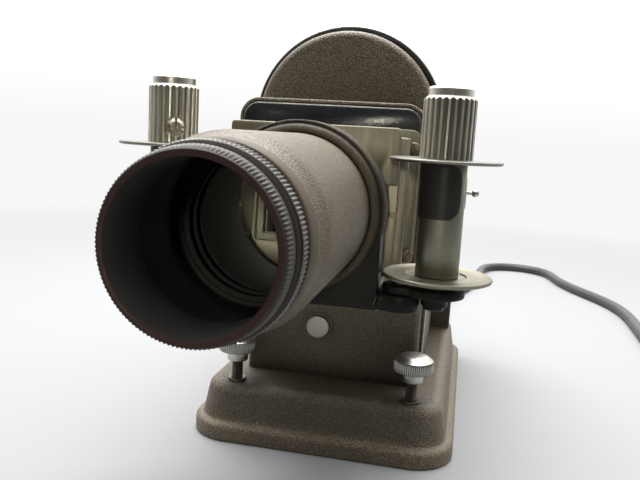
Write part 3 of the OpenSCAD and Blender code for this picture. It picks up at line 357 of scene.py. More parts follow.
# How each kind of finish is patchy: the patches' scale, how much dust, and how far the roughness spreads below
# and above its middle between the ends of the fine noise.
fineEnds = (0.3, 0.7)
kinds = {
    "enamel": {"patches": 35.0, "dusty": 0.15, "spread": (0.08, 0.10)},
    "gloss": {"patches": 55.0, "dusty": 0.4, "spread": (0.05, 0.08), "depth": 0.00002},
    "metal": {"patches": 70.0, "dusty": 0.45, "spread": (0.06, 0.08), "depth": 0.00001,
              "edge": (0.0004, 0.55), "rubbed": 0.6, "streaks": 0.3, "greasy": 0.08, "turned": 2600.0,
              "brushed": 900.0},
    "moulded": {"patches": 60.0, "dusty": 0.6, "spread": (0.08, 0.12), "depth": 0.00004,
                "edge": (0.0005, 0.5), "rubbed": 0.35},
    "felt": {"patches": 160.0, "roughness": 0.95, "specular": 0.1, "sheen": 0.4, "depth": 0.0003},
    "glass": {"patches": 90.0, "dusty": 0.3, "ends": (0.3, 0.8), "spread": (0.0, 0.05)},
}
# Worn and rubbed marks, and the reach, depth and height limits of the painted shade.
wearAndShadePlan = {
    "rubbed": (0.62, 0.59, 0.50), "rubRadius": 0.0007, "aboveEdge": 0.0006, "belowEdge": (0.0022, 0.0016),
    "shadeReach": 0.12, "paintedShading": 0.85, "shadeDarkness": 0.4, "lipUnshaded": (0.0075, 0.0110),
    "scuffRagged": 0.004, "scuffRadius": (0.0042, 0.0030),
}


def lowEdge(finish, body, plan):
    # the lowest edge of a casting is rubbed bright
    if "lowEdge" not in plan:
        return body
    tree = finish.tree
    rubbed = finish.use("edge", Radius=wearAndShadePlan["rubRadius"], Amount=1.0)["Mask"]
    height = heightOf(tree, finish.vector)
    low = remap(tree, height, plan["lowEdge"] + wearAndShadePlan["aboveEdge"], plan["lowEdge"])
    high = remap(tree, height, *(plan["lowEdge"] - step for step in wearAndShadePlan["belowEdge"]))
    return blendColour(tree, times(tree, rubbed, times(tree, low, high)), body, wearAndShadePlan["rubbed"])


def enamelFinish(name, plan):
    finish, kind = Finish(name, plan["roughness"], specular=plan["sheen"]), kinds["enamel"]
    tree = finish.tree
    grain = finish.use("crinkle", Scale=plan["grain"])
    edge = finish.use("edge", Radius=plan["edge"], Amount=plan["wear"])
    body = blendColour(tree, grain["Valley"], plan["peak"], plan["valley"])
    patch, body = finish.dusted(kind, body, plan["dust"])
    if "scuff" in plan:  # a dark rub on the side
        spot = vectorMaths(tree, "DISTANCE", finish.vector, plan["scuff"])
        ragged = maths(tree, "ADD", spot, times(tree, patch["Fine"], wearAndShadePlan["scuffRagged"]))
        body = blendColour(tree, remap(tree, ragged, *wearAndShadePlan["scuffRadius"]), body, plan["valley"])
    # painted shade: ambient occlusion darkens the enamel in corners and under overhangs
    paintedShade = finish.use("paintedShade", Reach=wearAndShadePlan["shadeReach"])["Mask"]
    aboveLip = remap(tree, heightOf(tree, finish.vector), *wearAndShadePlan["lipUnshaded"])  # the painted shade is kept off the plinth's lip, near the floor
    paintedShading = tuple(wearAndShadePlan["shadeDarkness"] * c for c in plan["valley"])
    body = blendColour(tree, times(tree, times(tree, paintedShade, aboveLip), wearAndShadePlan["paintedShading"]), body, paintedShading)
    body = blendColour(tree, edge["Mask"], body, plan["bare"])
    rough = finish.unevenGloss(kind, patch["Fine"], plan["roughness"])
    return finish.done(lowEdge(finish, body, plan), rough, grain["Height"], plan["depth"], edge)


def glossFinish(name, plan):
    finish, kind = Finish(name, plan["roughness"], specular=plan.get("sheen", 0.5)), kinds["gloss"]
    edge = finish.use("edge", Radius=plan["edge"], Amount=plan["wear"])
    patch, body = finish.dusted(kind, plan["colour"], plan["dust"])
    body = blendColour(finish.tree, edge["Mask"], body, plan["bare"])
    rough = finish.unevenGloss(kind, patch["Fine"], plan["roughness"])
    return finish.done(lowEdge(finish, body, plan), rough, patch["Fine"], kind["depth"], edge)


def metalFinish(name, plan):
    finish = Finish(name, plan["roughness"], metallic=1.0, centre=plan.get("centre", (0, 0, 0)),
                    turn=plan.get("turn", (0, 0, 0)))
    tree, kind = finish.tree, kinds["metal"]
    if "centre" in plan:
        lines = finish.use("turned", Pitch=plan.get("pitch", kind["turned"]))["Rings"]
    else:
        lines = finish.use("brushed", Scale=plan.get("pitch", kind["brushed"]))["Streaks"]
    radius, amount = kind["edge"]
    edge = finish.use("edge", Radius=radius, Amount=amount)
    patch, body = finish.dusted(kind, plan["colour"], plan["stain"], plan.get("tarnish"))
    body = blendColour(tree, remap(tree, lines, *fineEnds, 0.0, kind["streaks"]), body, plan["stain"])
    body = blendColour(tree, times(tree, edge["Mask"], kind["rubbed"]), body, plan["bright"])
    if "groove" in plan:
        inner, outer, low, high = plan["groove"]
        dirt = finish.use("groove", Inner=inner, Outer=outer, Low=low, High=high)["Mask"]
        body = blendColour(tree, dirt, body, plan["dirt"])
    greasy = times(tree, patch["Fine"], kind["greasy"])
    rough = maths(tree, "ADD", finish.unevenGloss(kind, lines, plan["roughness"]), greasy)
    return finish.done(body, rough, lines, plan.get("depth", kind["depth"]), edge)


def mouldedFinish(name, plan):
    finish, kind = Finish(name, plan["roughness"], specular=plan.get("specular", 0.4)), kinds["moulded"]
    radius, amount = kind["edge"]
    rubbed = times(finish.tree, finish.use("edge", Radius=radius, Amount=amount)["Mask"], kind["rubbed"])
    patch, body = finish.dusted(kind, plan["colour"], plan["dust"])
    body = blendColour(finish.tree, rubbed, body, plan["dust"])
    rough = finish.unevenGloss(kind, patch["Fine"], plan["roughness"])
    return finish.done(body, rough, patch["Fine"], kind["depth"])


def feltFinish(name, plan):
    kind = kinds["felt"]
    finish = Finish(name, kind["roughness"], specular=kind["specular"])
    finish.shader.inputs["Sheen Weight"].default_value = kind["sheen"]
    patch = finish.use("handling", Scale=kind["patches"])
    body = blendColour(finish.tree, patch["Fine"], plan["colour"], plan["fibre"])
    return finish.done(body, kind["roughness"], patch["Fine"], kind["depth"])


def glassFinish(name, plan):
    finish, kind = Finish(name, plan["roughness"]), kinds["glass"]
    finish.shader.inputs["Transmission Weight"].default_value = plan["clear"]
    finish.shader.inputs["IOR"].default_value = plan["ior"]
    patch, body = finish.dusted(kind, plan["colour"], plan["dust"])
    finish.feed(body, "Base Color")
    finish.feed(finish.unevenGloss(kind, patch["Fine"], plan["roughness"]), "Roughness")
    # daylight passes to what lies behind
    tree = finish.tree
    ray = tree.nodes.new("ShaderNodeLightPath").outputs
    clear = tree.nodes.new("ShaderNodeBsdfTransparent")
    mix = tree.nodes.new("ShaderNodeMixShader")
    put(tree, maths(tree, "MAXIMUM", ray["Is Shadow Ray"], ray["Is Diffuse Ray"]), mix.inputs[0])
    put(tree, finish.shader.outputs[0], mix.inputs[1])
    put(tree, clear.outputs[0], mix.inputs[2])
    put(tree, mix.outputs[0], tree.nodes["Material Output"].inputs["Surface"])
    return finish.material


brown = {"peak": (0.275, 0.222, 0.146), "valley": (0.078, 0.063, 0.041), "dust": (0.23, 0.195, 0.142),
         "grain": 1900.0, "depth": 0.00030, "roughness": 0.46, "sheen": 0.35}
enamels = {
    "bodyEnamel": {**brown, "bare": (0.34, 0.30, 0.22), "edge": 0.0006, "wear": 0.6, "lowEdge": 0.0246},
    # the nose's pale bare edges are partly worn paint, partly painted highlight where edges catch the light from
    # above
    "noseEnamelWithEdgeHighlight": {**brown, "bare": (0.62, 0.56, 0.43), "edge": 0.0005, "wear": 0.95},
    "collarEnamel": {"peak": (0.105, 0.085, 0.060), "valley": (0.048, 0.039, 0.027), "dust": (0.10, 0.085, 0.062),
                     "bare": (0.40, 0.36, 0.28), "grain": 2200.0, "depth": 0.00010, "roughness": 0.55, "sheen": 0.08,
                     "edge": 0.0004, "wear": 0.7},
    "barrelEnamel": {"peak": (0.156, 0.123, 0.076), "valley": (0.066, 0.052, 0.032), "dust": (0.15, 0.128, 0.10),
                     "bare": (0.30, 0.27, 0.21), "grain": 1900.0, "depth": 0.00020, "roughness": 0.46, "sheen": 0.32,
                     "edge": 0.0004, "wear": 0.45, "scuff": (0.02326, -0.19511, 0.1165)},
}


def coated(colour, dust, bare, roughness, edge, wear, **more):
    return {"colour": colour, "dust": dust, "bare": bare, "roughness": roughness, "edge": edge, "wear": wear, **more}


# Each coat's colour, dust, bare edge and roughness, how wide its edges are and how worn.
glosses = {
    "faceEnamel": coated((0.010, 0.012, 0.015), (0.030, 0.032, 0.031), (0.70, 0.66, 0.54), 0.2, 0.0008, 1.2),
    "mountEnamel": coated((0.009, 0.009, 0.0075), (0.016, 0.0155, 0.0125), (0.26, 0.24, 0.19), 0.40, 0.0004, 0.6,
        sheen=0.12, lowEdge=0.0774),
    "blackeningAndPaintedShade": coated((0.012, 0.011, 0.010), (0.024, 0.022, 0.019), (0.12, 0.105, 0.085), 0.4, 0.0003, 0.5),
    "ringGrey": coated((0.026, 0.023, 0.020), (0.040, 0.036, 0.031), (0.14, 0.13, 0.11), 0.5, 0.0003, 0.4,
        sheen=0.2),
    # the lip band's darker brown is partly its own tone, partly painted shade cast by the ring's beads
    "lipBrown": coated((0.078, 0.061, 0.044), (0.10, 0.082, 0.060), (0.20, 0.17, 0.13), 0.55, 0.0003, 0.5,
        sheen=0.2),
    "redBlackening": coated((0.022, 0.010, 0.008), (0.028, 0.014, 0.011), (0.10, 0.06, 0.05), 0.5, 0.0003, 0.4,
        sheen=0.2),
    "boreBlack": coated((0.026, 0.0255, 0.025), (0.040, 0.039, 0.037), (0.02, 0.019, 0.017), 0.8, 0.0003, 0.2,
        sheen=0.05),
}


def bothSides(x, y):
    return {"left": (-x, y, 0), "right": (x, y, 0)}


spoolSides, levelSides = bothSides(*places["spools"]), bothSides(*places["levels"])
lensCentre, lensTurn = (0, 0, places["axis"]), (math.radians(90), 0, 0)


def toned(colour, stain, bright, roughness, **more):
    return {"colour": colour, "stain": stain, "bright": bright, "roughness": roughness, **more}


# Each metal's colour, stain, worn edge and roughness. One with a centre is turned, the others are rolled sheet.
metals = {
    "gateNickel": toned((0.23, 0.215, 0.163), (0.155, 0.14, 0.10), (0.50, 0.47, 0.38), 0.45),
    "shelfNickel": toned((0.25, 0.235, 0.178), (0.17, 0.155, 0.11), (0.50, 0.47, 0.38), 0.45,
        turn=(0, math.radians(90), 0)),
    "ringKnurl": toned((0.088, 0.085, 0.078), (0.055, 0.052, 0.046), (0.17, 0.16, 0.145), 0.5, centre=lensCentre,
        turn=lensTurn, groove=(0.02065, 0.02105, -1.0, 1.0), dirt=(0.030, 0.026, 0.022)),
    "ringBeads": toned((0.165, 0.159, 0.146), (0.09, 0.085, 0.076), (0.32, 0.30, 0.27), 0.42, centre=lensCentre,
        turn=lensTurn, groove=(0.02205, 0.02245, -1.0, 1.0), dirt=(0.020, 0.017, 0.015)),
    "darkSteel": toned((0.16, 0.145, 0.125), (0.07, 0.055, 0.042), (0.42, 0.39, 0.34), 0.38),
    "screwNickel": toned((0.62, 0.59, 0.50), (0.30, 0.26, 0.19), (0.85, 0.82, 0.72), 0.22),
    "studSteel": toned((0.07, 0.063, 0.052), (0.03, 0.026, 0.021), (0.32, 0.30, 0.25), 0.35),
    "screwBrown": toned((0.17, 0.14, 0.10), (0.07, 0.052, 0.036), (0.45, 0.41, 0.32), 0.4),
    "rimSteel": toned((0.52, 0.50, 0.43), (0.30, 0.28, 0.22), (0.8, 0.77, 0.68), 0.4),
    "buttonSteel": toned((0.37, 0.37, 0.34), (0.25, 0.25, 0.225), (0.75, 0.75, 0.72), 0.5, depth=0.00004,
        pitch=2200.0),
    "pressureSteel": toned((0.36, 0.34, 0.27), (0.24, 0.22, 0.17), (0.6, 0.58, 0.5), 0.3),
    "chromePlate": toned((0.50, 0.50, 0.49), (0.36, 0.36, 0.35), (0.9, 0.9, 0.88), 0.16, depth=0.000003,
        tarnish=0.2),
    "switchBrass": toned((0.45, 0.40, 0.28), (0.25, 0.21, 0.14), (0.75, 0.69, 0.52), 0.35,
        centre=(0.0505, 0.064, 0.1036), turn=(0, math.radians(90), 0)),
    "mirrorSilver": toned((0.86, 0.86, 0.86), (0.70, 0.70, 0.68), (0.95, 0.95, 0.95), 0.1, depth=0.000003,
        tarnish=0.2),
}
for side in ("left", "right"):
    metals[side + "TrayNickel"] = toned((0.25, 0.235, 0.18), (0.17, 0.155, 0.115), (0.55, 0.52, 0.44), 0.4,
        centre=spoolSides[side])
    metals[side + "CoreNickel"] = toned((0.28, 0.28, 0.218), (0.20, 0.197, 0.148), (0.7, 0.69, 0.6), 0.38,
        pitch=9000.0, depth=0.000004, centre=spoolSides[side])
    metals[side + "KnobNickel"] = toned((0.82, 0.80, 0.70), (0.56, 0.54, 0.45), (0.95, 0.94, 0.88), 0.3,
        centre=spoolSides[side], groove=(0.0078, 0.0083, 0.12, 0.1462), dirt=(0.27, 0.255, 0.20))
    metals[side + "DiscAluminium"] = toned((0.215, 0.208, 0.184), (0.14, 0.137, 0.115), (0.7, 0.69, 0.63), 0.3,
        centre=spoolSides[side])
    metals[side + "HeadAluminium"] = toned((0.55, 0.54, 0.50), (0.36, 0.35, 0.30), (0.9, 0.89, 0.84), 0.27,
        pitch=5200.0, depth=0.00003, centre=levelSides[side], groove=(0.0081, 0.00835, 0.0372, 0.0424),
        dirt=(0.11, 0.10, 0.08))
mouldings = {
    "cordRubber": {"colour": (0.031, 0.033, 0.033), "dust": (0.050, 0.053, 0.052), "roughness": 0.45,
                   "specular": 0.5},
    "padRubber": {"colour": (0.020, 0.020, 0.020), "dust": (0.05, 0.048, 0.045), "roughness": 0.65},
    "brownPlastic": {"colour": (0.030, 0.018, 0.012), "dust": (0.060, 0.042, 0.032), "roughness": 0.28,
                     "specular": 0.5},
}
felts = {"greenFelt": {"colour": (0.022, 0.028, 0.022), "fibre": (0.060, 0.068, 0.055)}}
glasses = {
    "lensGlass": {"colour": (0.96, 0.98, 0.98), "dust": (0.90, 0.90, 0.87), "clear": 1.0, "ior": 1.06,
                  "roughness": 0.0},
    "condenserGlass": {"colour": (0.50, 0.47, 0.38), "dust": (0.42, 0.39, 0.30), "clear": 0.2, "ior": 1.3,
                       "roughness": 0.3},
    "bulbGlass": {"colour": (0.94, 0.95, 0.95), "dust": (0.82, 0.82, 0.78), "clear": 0.95, "ior": 1.2,
                  "roughness": 0.04},
}
finishes = {}
for table, maker in ((enamels, enamelFinish), (glosses, glossFinish), (metals, metalFinish),
                     (mouldings, mouldedFinish), (felts, feltFinish), (glasses, glassFinish)):
    for name, plan in table.items():
        finishes[name] = maker(name, plan)
print("finishes made:", len(finishes))

# What the pieces that stay as they are in the CAD wear.
wearing = {
    "bodyEnamel": "base_plinth lamphouse_back rear_housing",
    "darkSteel": "bottom_plate socket_bracket levelling_bushes",
    "greenFelt": "base_felt", "screwNickel": "knob_screw_left knob_screw_right",
    "padRubber": "levelling_pad_left levelling_pad_right",
    "gateNickel": "condenser_holder", "pressureSteel": "pressure_plate",
    "leftKnobNickel": "spool_knob_left", "rightKnobNickel": "spool_knob_right",
    "chromePlate": "switch_lever", "brownPlastic": "button_switch switch_body lamp_socket",
    "condenserGlass": "condenser_lenses", "bulbGlass": "lamp_bulb", "mirrorSilver": "reflector",
}
for finishName, wearers in wearing.items():
    for wearer in wearers.split():
        materials = nodes[wearer].data.materials
        if len(materials) == 0:
            materials.append(finishes[finishName])
        for index in range(len(materials)):
            materials[index] = finishes[finishName]
mainsCord.data.materials.append(finishes["cordRubber"])


# Ways of making pieces. Outlines are in millimetres and stand on Z until they are settled.
bodyOf = {node: body for body, group in frame["record"]["behaviour"]["bodies"].items() for node in group}
ways = {"up": Matrix.Identity(4), "down": Matrix.Rotation(math.pi, 4, "X"),
        "back": Matrix.Rotation(-math.pi / 2, 4, "X"), "front": Matrix.Rotation(math.pi / 2, 4, "X")}
easePlan = {"angle": 30, "segments": 2, "weld": 2e-6, "flat": 0.4}


def allOf(bm):
    return bm.verts[:] + bm.edges[:] + bm.faces[:]


def meshOf(name, bm):
    mesh = bpy.data.meshes.new(name)
    bm.to_mesh(mesh)
    bm.free()
    return mesh


def turnRound(bm, angle, steps, **more):
    bmesh.ops.spin(bm, geom=allOf(bm), cent=(0, 0, 0), axis=(0, 0, 1), angle=angle, steps=steps, **more)


def easeEdges(bm, edges, width):
    bmesh.ops.bevel(bm, geom=edges, offset=width, offset_type="OFFSET", segments=easePlan["segments"], profile=0.5,
                    affect="EDGES", material=-1)


def lathe(outline, steps=96, closed=False):
    # spins a line of (radius, height) points round Z
    bm = bmesh.new()
    verts = [bm.verts.new((radius, 0, height)) for radius, height in outline]
    for pair in zip(verts, verts[1:] + (verts[:1] if closed else [])):
        bm.edges.new(pair)
    turnRound(bm, math.tau, steps, use_merge=True)
    bmesh.ops.remove_doubles(bm, verts=bm.verts[:], dist=1e-4)
    return bm


def block(size, centre, soften):
    bm = bmesh.new()
    bmesh.ops.create_cube(bm, size=1.0)
    bmesh.ops.scale(bm, vec=size, verts=bm.verts[:])
    bmesh.ops.translate(bm, vec=centre, verts=bm.verts[:])
    easeEdges(bm, bm.edges[:], soften)
    return bm


def knurl(bm, low, high, bottom, top, depth, ridges):
    # presses every second column of a band inwards
    for v in bm.verts:
        radius = math.hypot(v.co.x, v.co.y)
        if low < radius < high and bottom < v.co.z < top:
            column = round(math.atan2(v.co.y, v.co.x) / math.tau * 2 * ridges)
            if column % 2:
                v.co.xy = v.co.xy * ((radius - depth) / radius)


def addTo(bm, other, material=0):
    for face in other.faces:
        face.material_index = material
    store = meshOf("looseShape", other)
    bm.from_mesh(store)
    bpy.data.meshes.remove(store)


def standing(side, height=0):
    # a side's place in the frame, in millimetres
    return side[0] * 1000, side[1] * 1000, height


def settle(bm, place, way="up", spin=0.0):
    # from millimetres on Z to metres in the frame
    turn = Matrix.Translation(Vector(place) / 1000) @ ways[way] @ Matrix.Rotation(spin, 4, "Z")
    bmesh.ops.transform(bm, matrix=turn @ Matrix.Scale(0.001, 4), verts=bm.verts[:])
    return bm


def newPiece(name, bm, finishNames, replaced, sharp=35):
    bmesh.ops.recalc_face_normals(bm, faces=bm.faces[:])
    mesh = meshOf(name, bm)
    mesh.shade_smooth()
    mesh.set_sharp_from_angle(angle=math.radians(sharp))
    for finishName in finishNames.split():
        mesh.materials.append(finishes[finishName])
    piece = addObject(name, mesh)
    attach(piece, bodyOf[replaced])
    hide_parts(replaced)
    return piece


def softened(node, name, finishName, width):
    # a copy of a casting with its sharp edges eased
    bm = bmesh.new()
    bm.from_mesh(nodes[node].data)
    bmesh.ops.remove_doubles(bm, verts=bm.verts[:], dist=easePlan["weld"])
    bmesh.ops.dissolve_limit(bm, angle_limit=math.radians(easePlan["flat"]), verts=bm.verts[:], edges=bm.edges[:])
    steep = math.radians(easePlan["angle"])
    corners = [e for e in bm.edges if len(e.link_faces) == 2 and e.calc_face_angle(0) > steep]
    easeEdges(bm, corners, width / 1000)
    return newPiece(name, bm, finishName, node, sharp=40)


# The lens. Its places along the axis are millimetres on the frame's Y.
lensAxis = (0, 0, 108.5)
barrelPlan = {"front": -209.5, "shoulder": -199.3, "back": -122.6, "r": 24.6, "bore": 23.0, "throat": 19.0,
              "lip": 4.7, "groove": 0.14}


def makeBarrel(front, shoulder, back, r, bore, throat, lip, groove):
    bm = lathe([
        (throat, front), (22.3, front), (22.4, front + 0.1), (22.7, front + 0.6), (22.9, front + 4.6),
        (24.1, shoulder - 1.2), (24.45, shoulder - 0.5), (r, shoulder), (r, shoulder + 1.1),
        (r - groove, shoulder + 1.25), (r - groove, shoulder + 1.45), (r, shoulder + 1.6), (r, back - 0.4),
        (r - 0.4, back), (bore + 0.3, back), (bore, back - 0.3), (bore, shoulder - 4), (throat, shoulder - 8)], 128,
        closed=True)
    bmesh.ops.recalc_face_normals(bm, faces=bm.faces[:])
    for face in bm.faces:
        middle = face.calc_center_median()
        if face.normal.xy.dot(middle.xy) < -0.1:  # the bore
            face.material_index = 1
        # the lip's band: partly its own darker tone, partly painted shade behind the ring's beads
        elif middle.z < front + lip:
            face.material_index = 2
    newPiece("lensBarrel", settle(bm, lensAxis, "back"), "barrelEnamel boreBlack lipBrown", "lens_barrel")


# Of the ring's bands, each row has an inner and outer radius, a start and end, and a depth.
ringPlan = {"front": -223.7, "length": 14.2, "bore": 18.8, "ridges": 132,
            "knurls": ((20.5, 21.6, 0.3, 4.2, 0.45), (22.3, 22.6, 7.2, 11.9, 0.42))}


def makeRing(front, length, bore, ridges, knurls):
    a, b = front, bore
    bm = lathe([
        (b, a + 0.3), (b + 0.3, a), (20.3, a), (20.75, a + 0.35), (20.95, a + 0.8), (21.2, a + 2.4),
        (21.45, a + 4.0), (21.3, a + 4.5), (20.6, a + 4.9), (20.5, a + 6.5), (21.9, a + 6.9), (22.4, a + 7.4),
        (22.5, a + 7.8), (22.5, a + 11.2), (22.35, a + 11.7), (21.8, a + 12.2), (21.3, a + 12.5), (21.4, a + length),
        (b, a + length)], 2 * ridges, closed=True)
    for inner, outer, start, end, depth in knurls:
        knurl(bm, inner, outer, a + start, a + end, depth, ridges)
    for face in bm.faces:
        middle = face.calc_center_median()
        radius, along = math.hypot(middle.x, middle.y), middle.z - a
        if radius < 20.4 and along < 0.4:  # the front face
            face.material_index = 1
        elif radius < 19.2:  # the bore
            face.material_index = 4
        elif radius > 20.5 and 0.4 < along < 4.3:  # the front band
            face.material_index = 2
        elif radius > 21.7 and 6.9 < along < 12.2:  # the beaded band
            face.material_index = 3
    newPiece("lensRing", settle(bm, lensAxis, "back"), "ringGrey redBlackening ringKnurl ringBeads boreBlack",
             "lens_ring", sharp=50)


lensPlan = {"r": 21.4, "thick": 3.3, "bulge": 1.2, "backBulge": 1.6, "steps": 8}
lensFronts = {"front": -174.8, "rear": -169.2}


def makeLens(side, front, r, thick, bulge, backBulge, steps):
    back = front + thick
    across = [r * k / steps for k in range(steps + 1)]
    bm = lathe([(x, front + bulge * (x / r) ** 2) for x in across]
               + [(x, back - backBulge * (x / r) ** 2) for x in reversed(across)])
    newPiece(side + "Lens", settle(bm, lensAxis, "back"), "lensGlass", "lens_" + side + "_element")


retainerPlan = {"spans": ((-175.9, -174.9), (-171.3, -169.4), (-165.7, -163.6)), "inner": 20.1, "face": 20.4,
                "outer": 21.55, "ease": 0.3}


def makeRetainers(spans, inner, face, outer, ease):
    # black rings that hold the glass
    bm = bmesh.new()
    for low, high in spans:
        addTo(bm, lathe([
            (inner, low + ease), (face, low), (outer, low), (outer, high), (face, high), (inner, high - ease)],
            closed=True))
    newPiece("lensRetainers", settle(bm, lensAxis, "back"), "boreBlack", "lens_cell")


# The collar is where the mount is in front of one place, or near its edge and in front of another.
mountPlan = {"ease": 0.5, "collarFront": -0.1349, "collarEdge": (0.0282, 0.0293), "collarBack": -0.125}


def makeMount(ease, collarFront, collarEdge, collarBack):
    mount = softened("lens_mount", "lensMount", "mountEnamel", ease)
    mount.data.materials.append(finishes["collarEnamel"])
    inner, outer = collarEdge
    for face in mount.data.polygons:
        radius = math.hypot(face.center.x, face.center.z - places["axis"])
        if face.center.y < collarFront or inner < radius < outer and face.center.y < collarBack:
            face.material_index = 1


makeBarrel(**barrelPlan)
makeRing(**ringPlan)
for side, front in lensFronts.items():
    makeLens(side, front, **lensPlan)
makeRetainers(**retainerPlan)
makeMount(**mountPlan)
print("lens made")


# The levelling screws and their knurled heads.
studPlan = {"tip": 1.6, "tipRadius": 1.2, "low": 3.7, "high": 38.9, "core": 2.15, "crest": 2.48, "pitch": 0.8,
            "root": 0.38, "ridge": 0.04, "sunk": 0.05, "steps": 18, "threadEnd": 34.0}
headPlan = {"base": 33.0, "neck": 4.5, "neckHeight": 3.4, "r": 8.4, "knurlTop": 9.4, "top": 11.65, "ridges": 60}


def makeStud(side, tip, tipRadius, low, high, core, crest, pitch, root, ridge, sunk, steps, threadEnd):
    bm = lathe([(0, tip), (tipRadius, tip), (tipRadius, low), (core, low), (core, high), (0, high)], 32)
    thread = bmesh.new()
    low, inner = low + pitch, core - sunk
    thread.faces.new([thread.verts.new(p) for p in (
        (inner, 0, low - root), (crest, 0, low - ridge), (crest, 0, low + ridge),
        (inner, 0, low + root))])
    turns = int((threadEnd - low) / pitch)
    turnRound(thread, math.tau * turns, turns * steps, dvec=(0, 0, pitch / steps))
    addTo(bm, thread)
    newPiece(side + "LevellingStud", settle(bm, standing(levelSides[side])), "studSteel", "levelling_stud_" + side)


def makeHead(side, base, neck, neckHeight, r, knurlTop, top, ridges):
    bm = lathe([
        (2.5, 0), (neck - 0.3, 0), (neck, 0.3), (neck, neckHeight), (r - 1.0, 4.3), (r - 0.35, 4.5), (r, 4.9),
        (r, 8.9), (r - 0.35, knurlTop), (7.6, knurlTop + 0.15), (6.9, 10.3), (5.8, 11.0), (4.4, 11.45), (2.0, top),
        (0, top)], 2 * ridges)
    knurl(bm, r - 0.1, r + 0.1, 4.7, 9.1, 0.36, ridges)
    newPiece(side + "LevellingHead", settle(bm, standing(levelSides[side], base)),
             side + "HeadAluminium", "levelling_knob_" + side, sharp=45)


for side in ("left", "right"):
    makeStud(side, **studPlan)
    makeHead(side, **headPlan)
print("levelling screws made")


# The spools.
trayPlan = {"low": 85.9, "flange": 88.8, "top": 90.3, "r": 18.0, "hub": 6.4, "bore": 3.06, "recess": 9.45}
discPlan = {"low": 126.3, "top": 127.5, "r": 18.0}
clipPlan = {"low": 108.7, "high": 126.0, "inner": 7.08, "outer": 7.55, "start": 19.9, "sweep": 300.2, "corner": 5.0}
corePlan = {"ease": 0.3, "blackFoot": 0.0835}


def makeTray(side, low, flange, top, r, hub, bore, recess):
    bm = lathe([
        (bore, low), (hub - 0.3, low), (hub, low + 0.3), (hub, flange), (r - 0.7, flange), (r - 0.2, flange + 0.25),
        (r, flange + 0.75), (r - 0.2, top - 0.25), (r - 0.7, top), (r - 1.3, top - 0.1), (r - 1.9, top - 0.4),
        (recess + 1.4, top - 0.4), (recess + 0.6, top - 0.15), (recess + 0.2, top - 0.25), (recess, top - 0.7),
        (bore, top - 0.8)], 128, closed=True)
    newPiece(side + "FilmTray", settle(bm, standing(spoolSides[side])), side + "TrayNickel", "spool_tray_" + side)


def makeDisc(side, low, top, r):
    bm = lathe([
        (3.0, low), (r - 0.6, low), (r - 0.15, low + 0.2), (r, (low + top) / 2), (r - 0.15, top - 0.2),
        (r - 0.6, top), (3.0, top)], 128, closed=True)
    newPiece(side + "FilmDisc", settle(bm, standing(spoolSides[side])), side + "DiscAluminium", "spool_disc_" + side)


def makeClip(side, low, high, inner, outer, start, sweep, corner):
    bm = bmesh.new()
    a = math.radians(start)
    corners = [bm.verts.new((r * math.cos(a), r * math.sin(a), z)) for r, z in (
        (inner, low), (outer, low), (outer, high), (inner, high))]
    bm.faces.new(corners)
    turnRound(bm, math.radians(sweep), 96)
    middle = (low + high) / 2
    for v in bm.verts:  # round corners at the free ends
        turned = (math.degrees(math.atan2(v.co.y, v.co.x)) - start) % 360
        edge = math.radians(min(turned, abs(sweep - turned))) * outer
        if edge < corner:
            cut = corner - math.sqrt(corner ** 2 - (corner - edge) ** 2)
            v.co.z += cut if v.co.z < middle else -cut
    newPiece(side + "FilmClip", settle(bm, standing(spoolSides[side])), "blackeningAndPaintedShade", "film_clip_" + side)


def makeCore(side, ease, blackFoot):
    core = softened("spool_core_" + side, side + "FilmCore", side + "CoreNickel", ease)
    core.data.materials.append(finishes["blackeningAndPaintedShade"])
    for face in core.data.polygons:
        if face.center.z < blackFoot:
            face.material_index = 1


for side in ("left", "right"):
    makeTray(side, **trayPlan)
    makeDisc(side, **discPlan)
    makeClip(side, **clipPlan)
    softened("spool_arm_" + side, side + "SpoolArm", "mountEnamel", 0.5)
    makeCore(side, **corePlan)
print("spools made")


# All the small screws, as one piece, each turned its own way.
screwPlan = {"radius": 2.6, "height": 1.7, "floor": 0.75, "slot": 0.6, "shank": 1.5, "firstTurn": 0.35,
             "nextTurn": 1.1}
screwPlaces = (
    [((x, -89.2, z), "front", 4.5) for x in (-33.2, 33.2) for z in (88.9, 129.6)]
    + [((x, 78.0, z), "back", 5.0) for x in (-44.5, 44.5) for z in (31.0, 110.0)]
    + [((x, y, 2.2), "down", 7.0) for x in (-43.5, 43.5) for y in (-52.0, 52.0)]
    + [((x, -128.0, 85.9), "up", 7.0) for x in (-35.0, 35.0)])


def makeScrew(plan, length):
    r, floor, height = plan["radius"], plan["floor"], plan["height"]
    bm = lathe([(0, -length), (plan["shank"], -length), (plan["shank"], 0), (r, 0), (r, floor), (0, floor)], 32)
    for flip in (0, math.pi):
        half = lathe([
            (0, floor), (r, floor), (r - 0.1, 1.0), (r - 0.5, height - 0.2), (r - 1.2, height), (0, height)], 32)
        bmesh.ops.bisect_plane(half, geom=allOf(half), dist=1e-5,
                               plane_co=(plan["slot"] / 2, 0, 0), plane_no=(1, 0, 0), clear_inner=True)
        bmesh.ops.holes_fill(half, edges=[e for e in half.edges if e.is_boundary], sides=0)
        bmesh.ops.rotate(half, cent=(0, 0, 0), matrix=Matrix.Rotation(flip, 3, "Z"), verts=half.verts[:])
        addTo(bm, half)
    return bm


def makeScrews(plan):
    bm = bmesh.new()
    for count, (place, way, length) in enumerate(screwPlaces):
        addTo(bm, settle(makeScrew(plan, length), place, way, spin=plan["firstTurn"] + plan["nextTurn"] * count))
    newPiece("caseScrews", bm, "screwBrown", "case_screws")


buttonPlan = {"place": (-6.3, -58.2, 47.3), "r": 5.2, "length": 5.0, "flange": 6.4, "stem": 2.0, "end": 13.7}


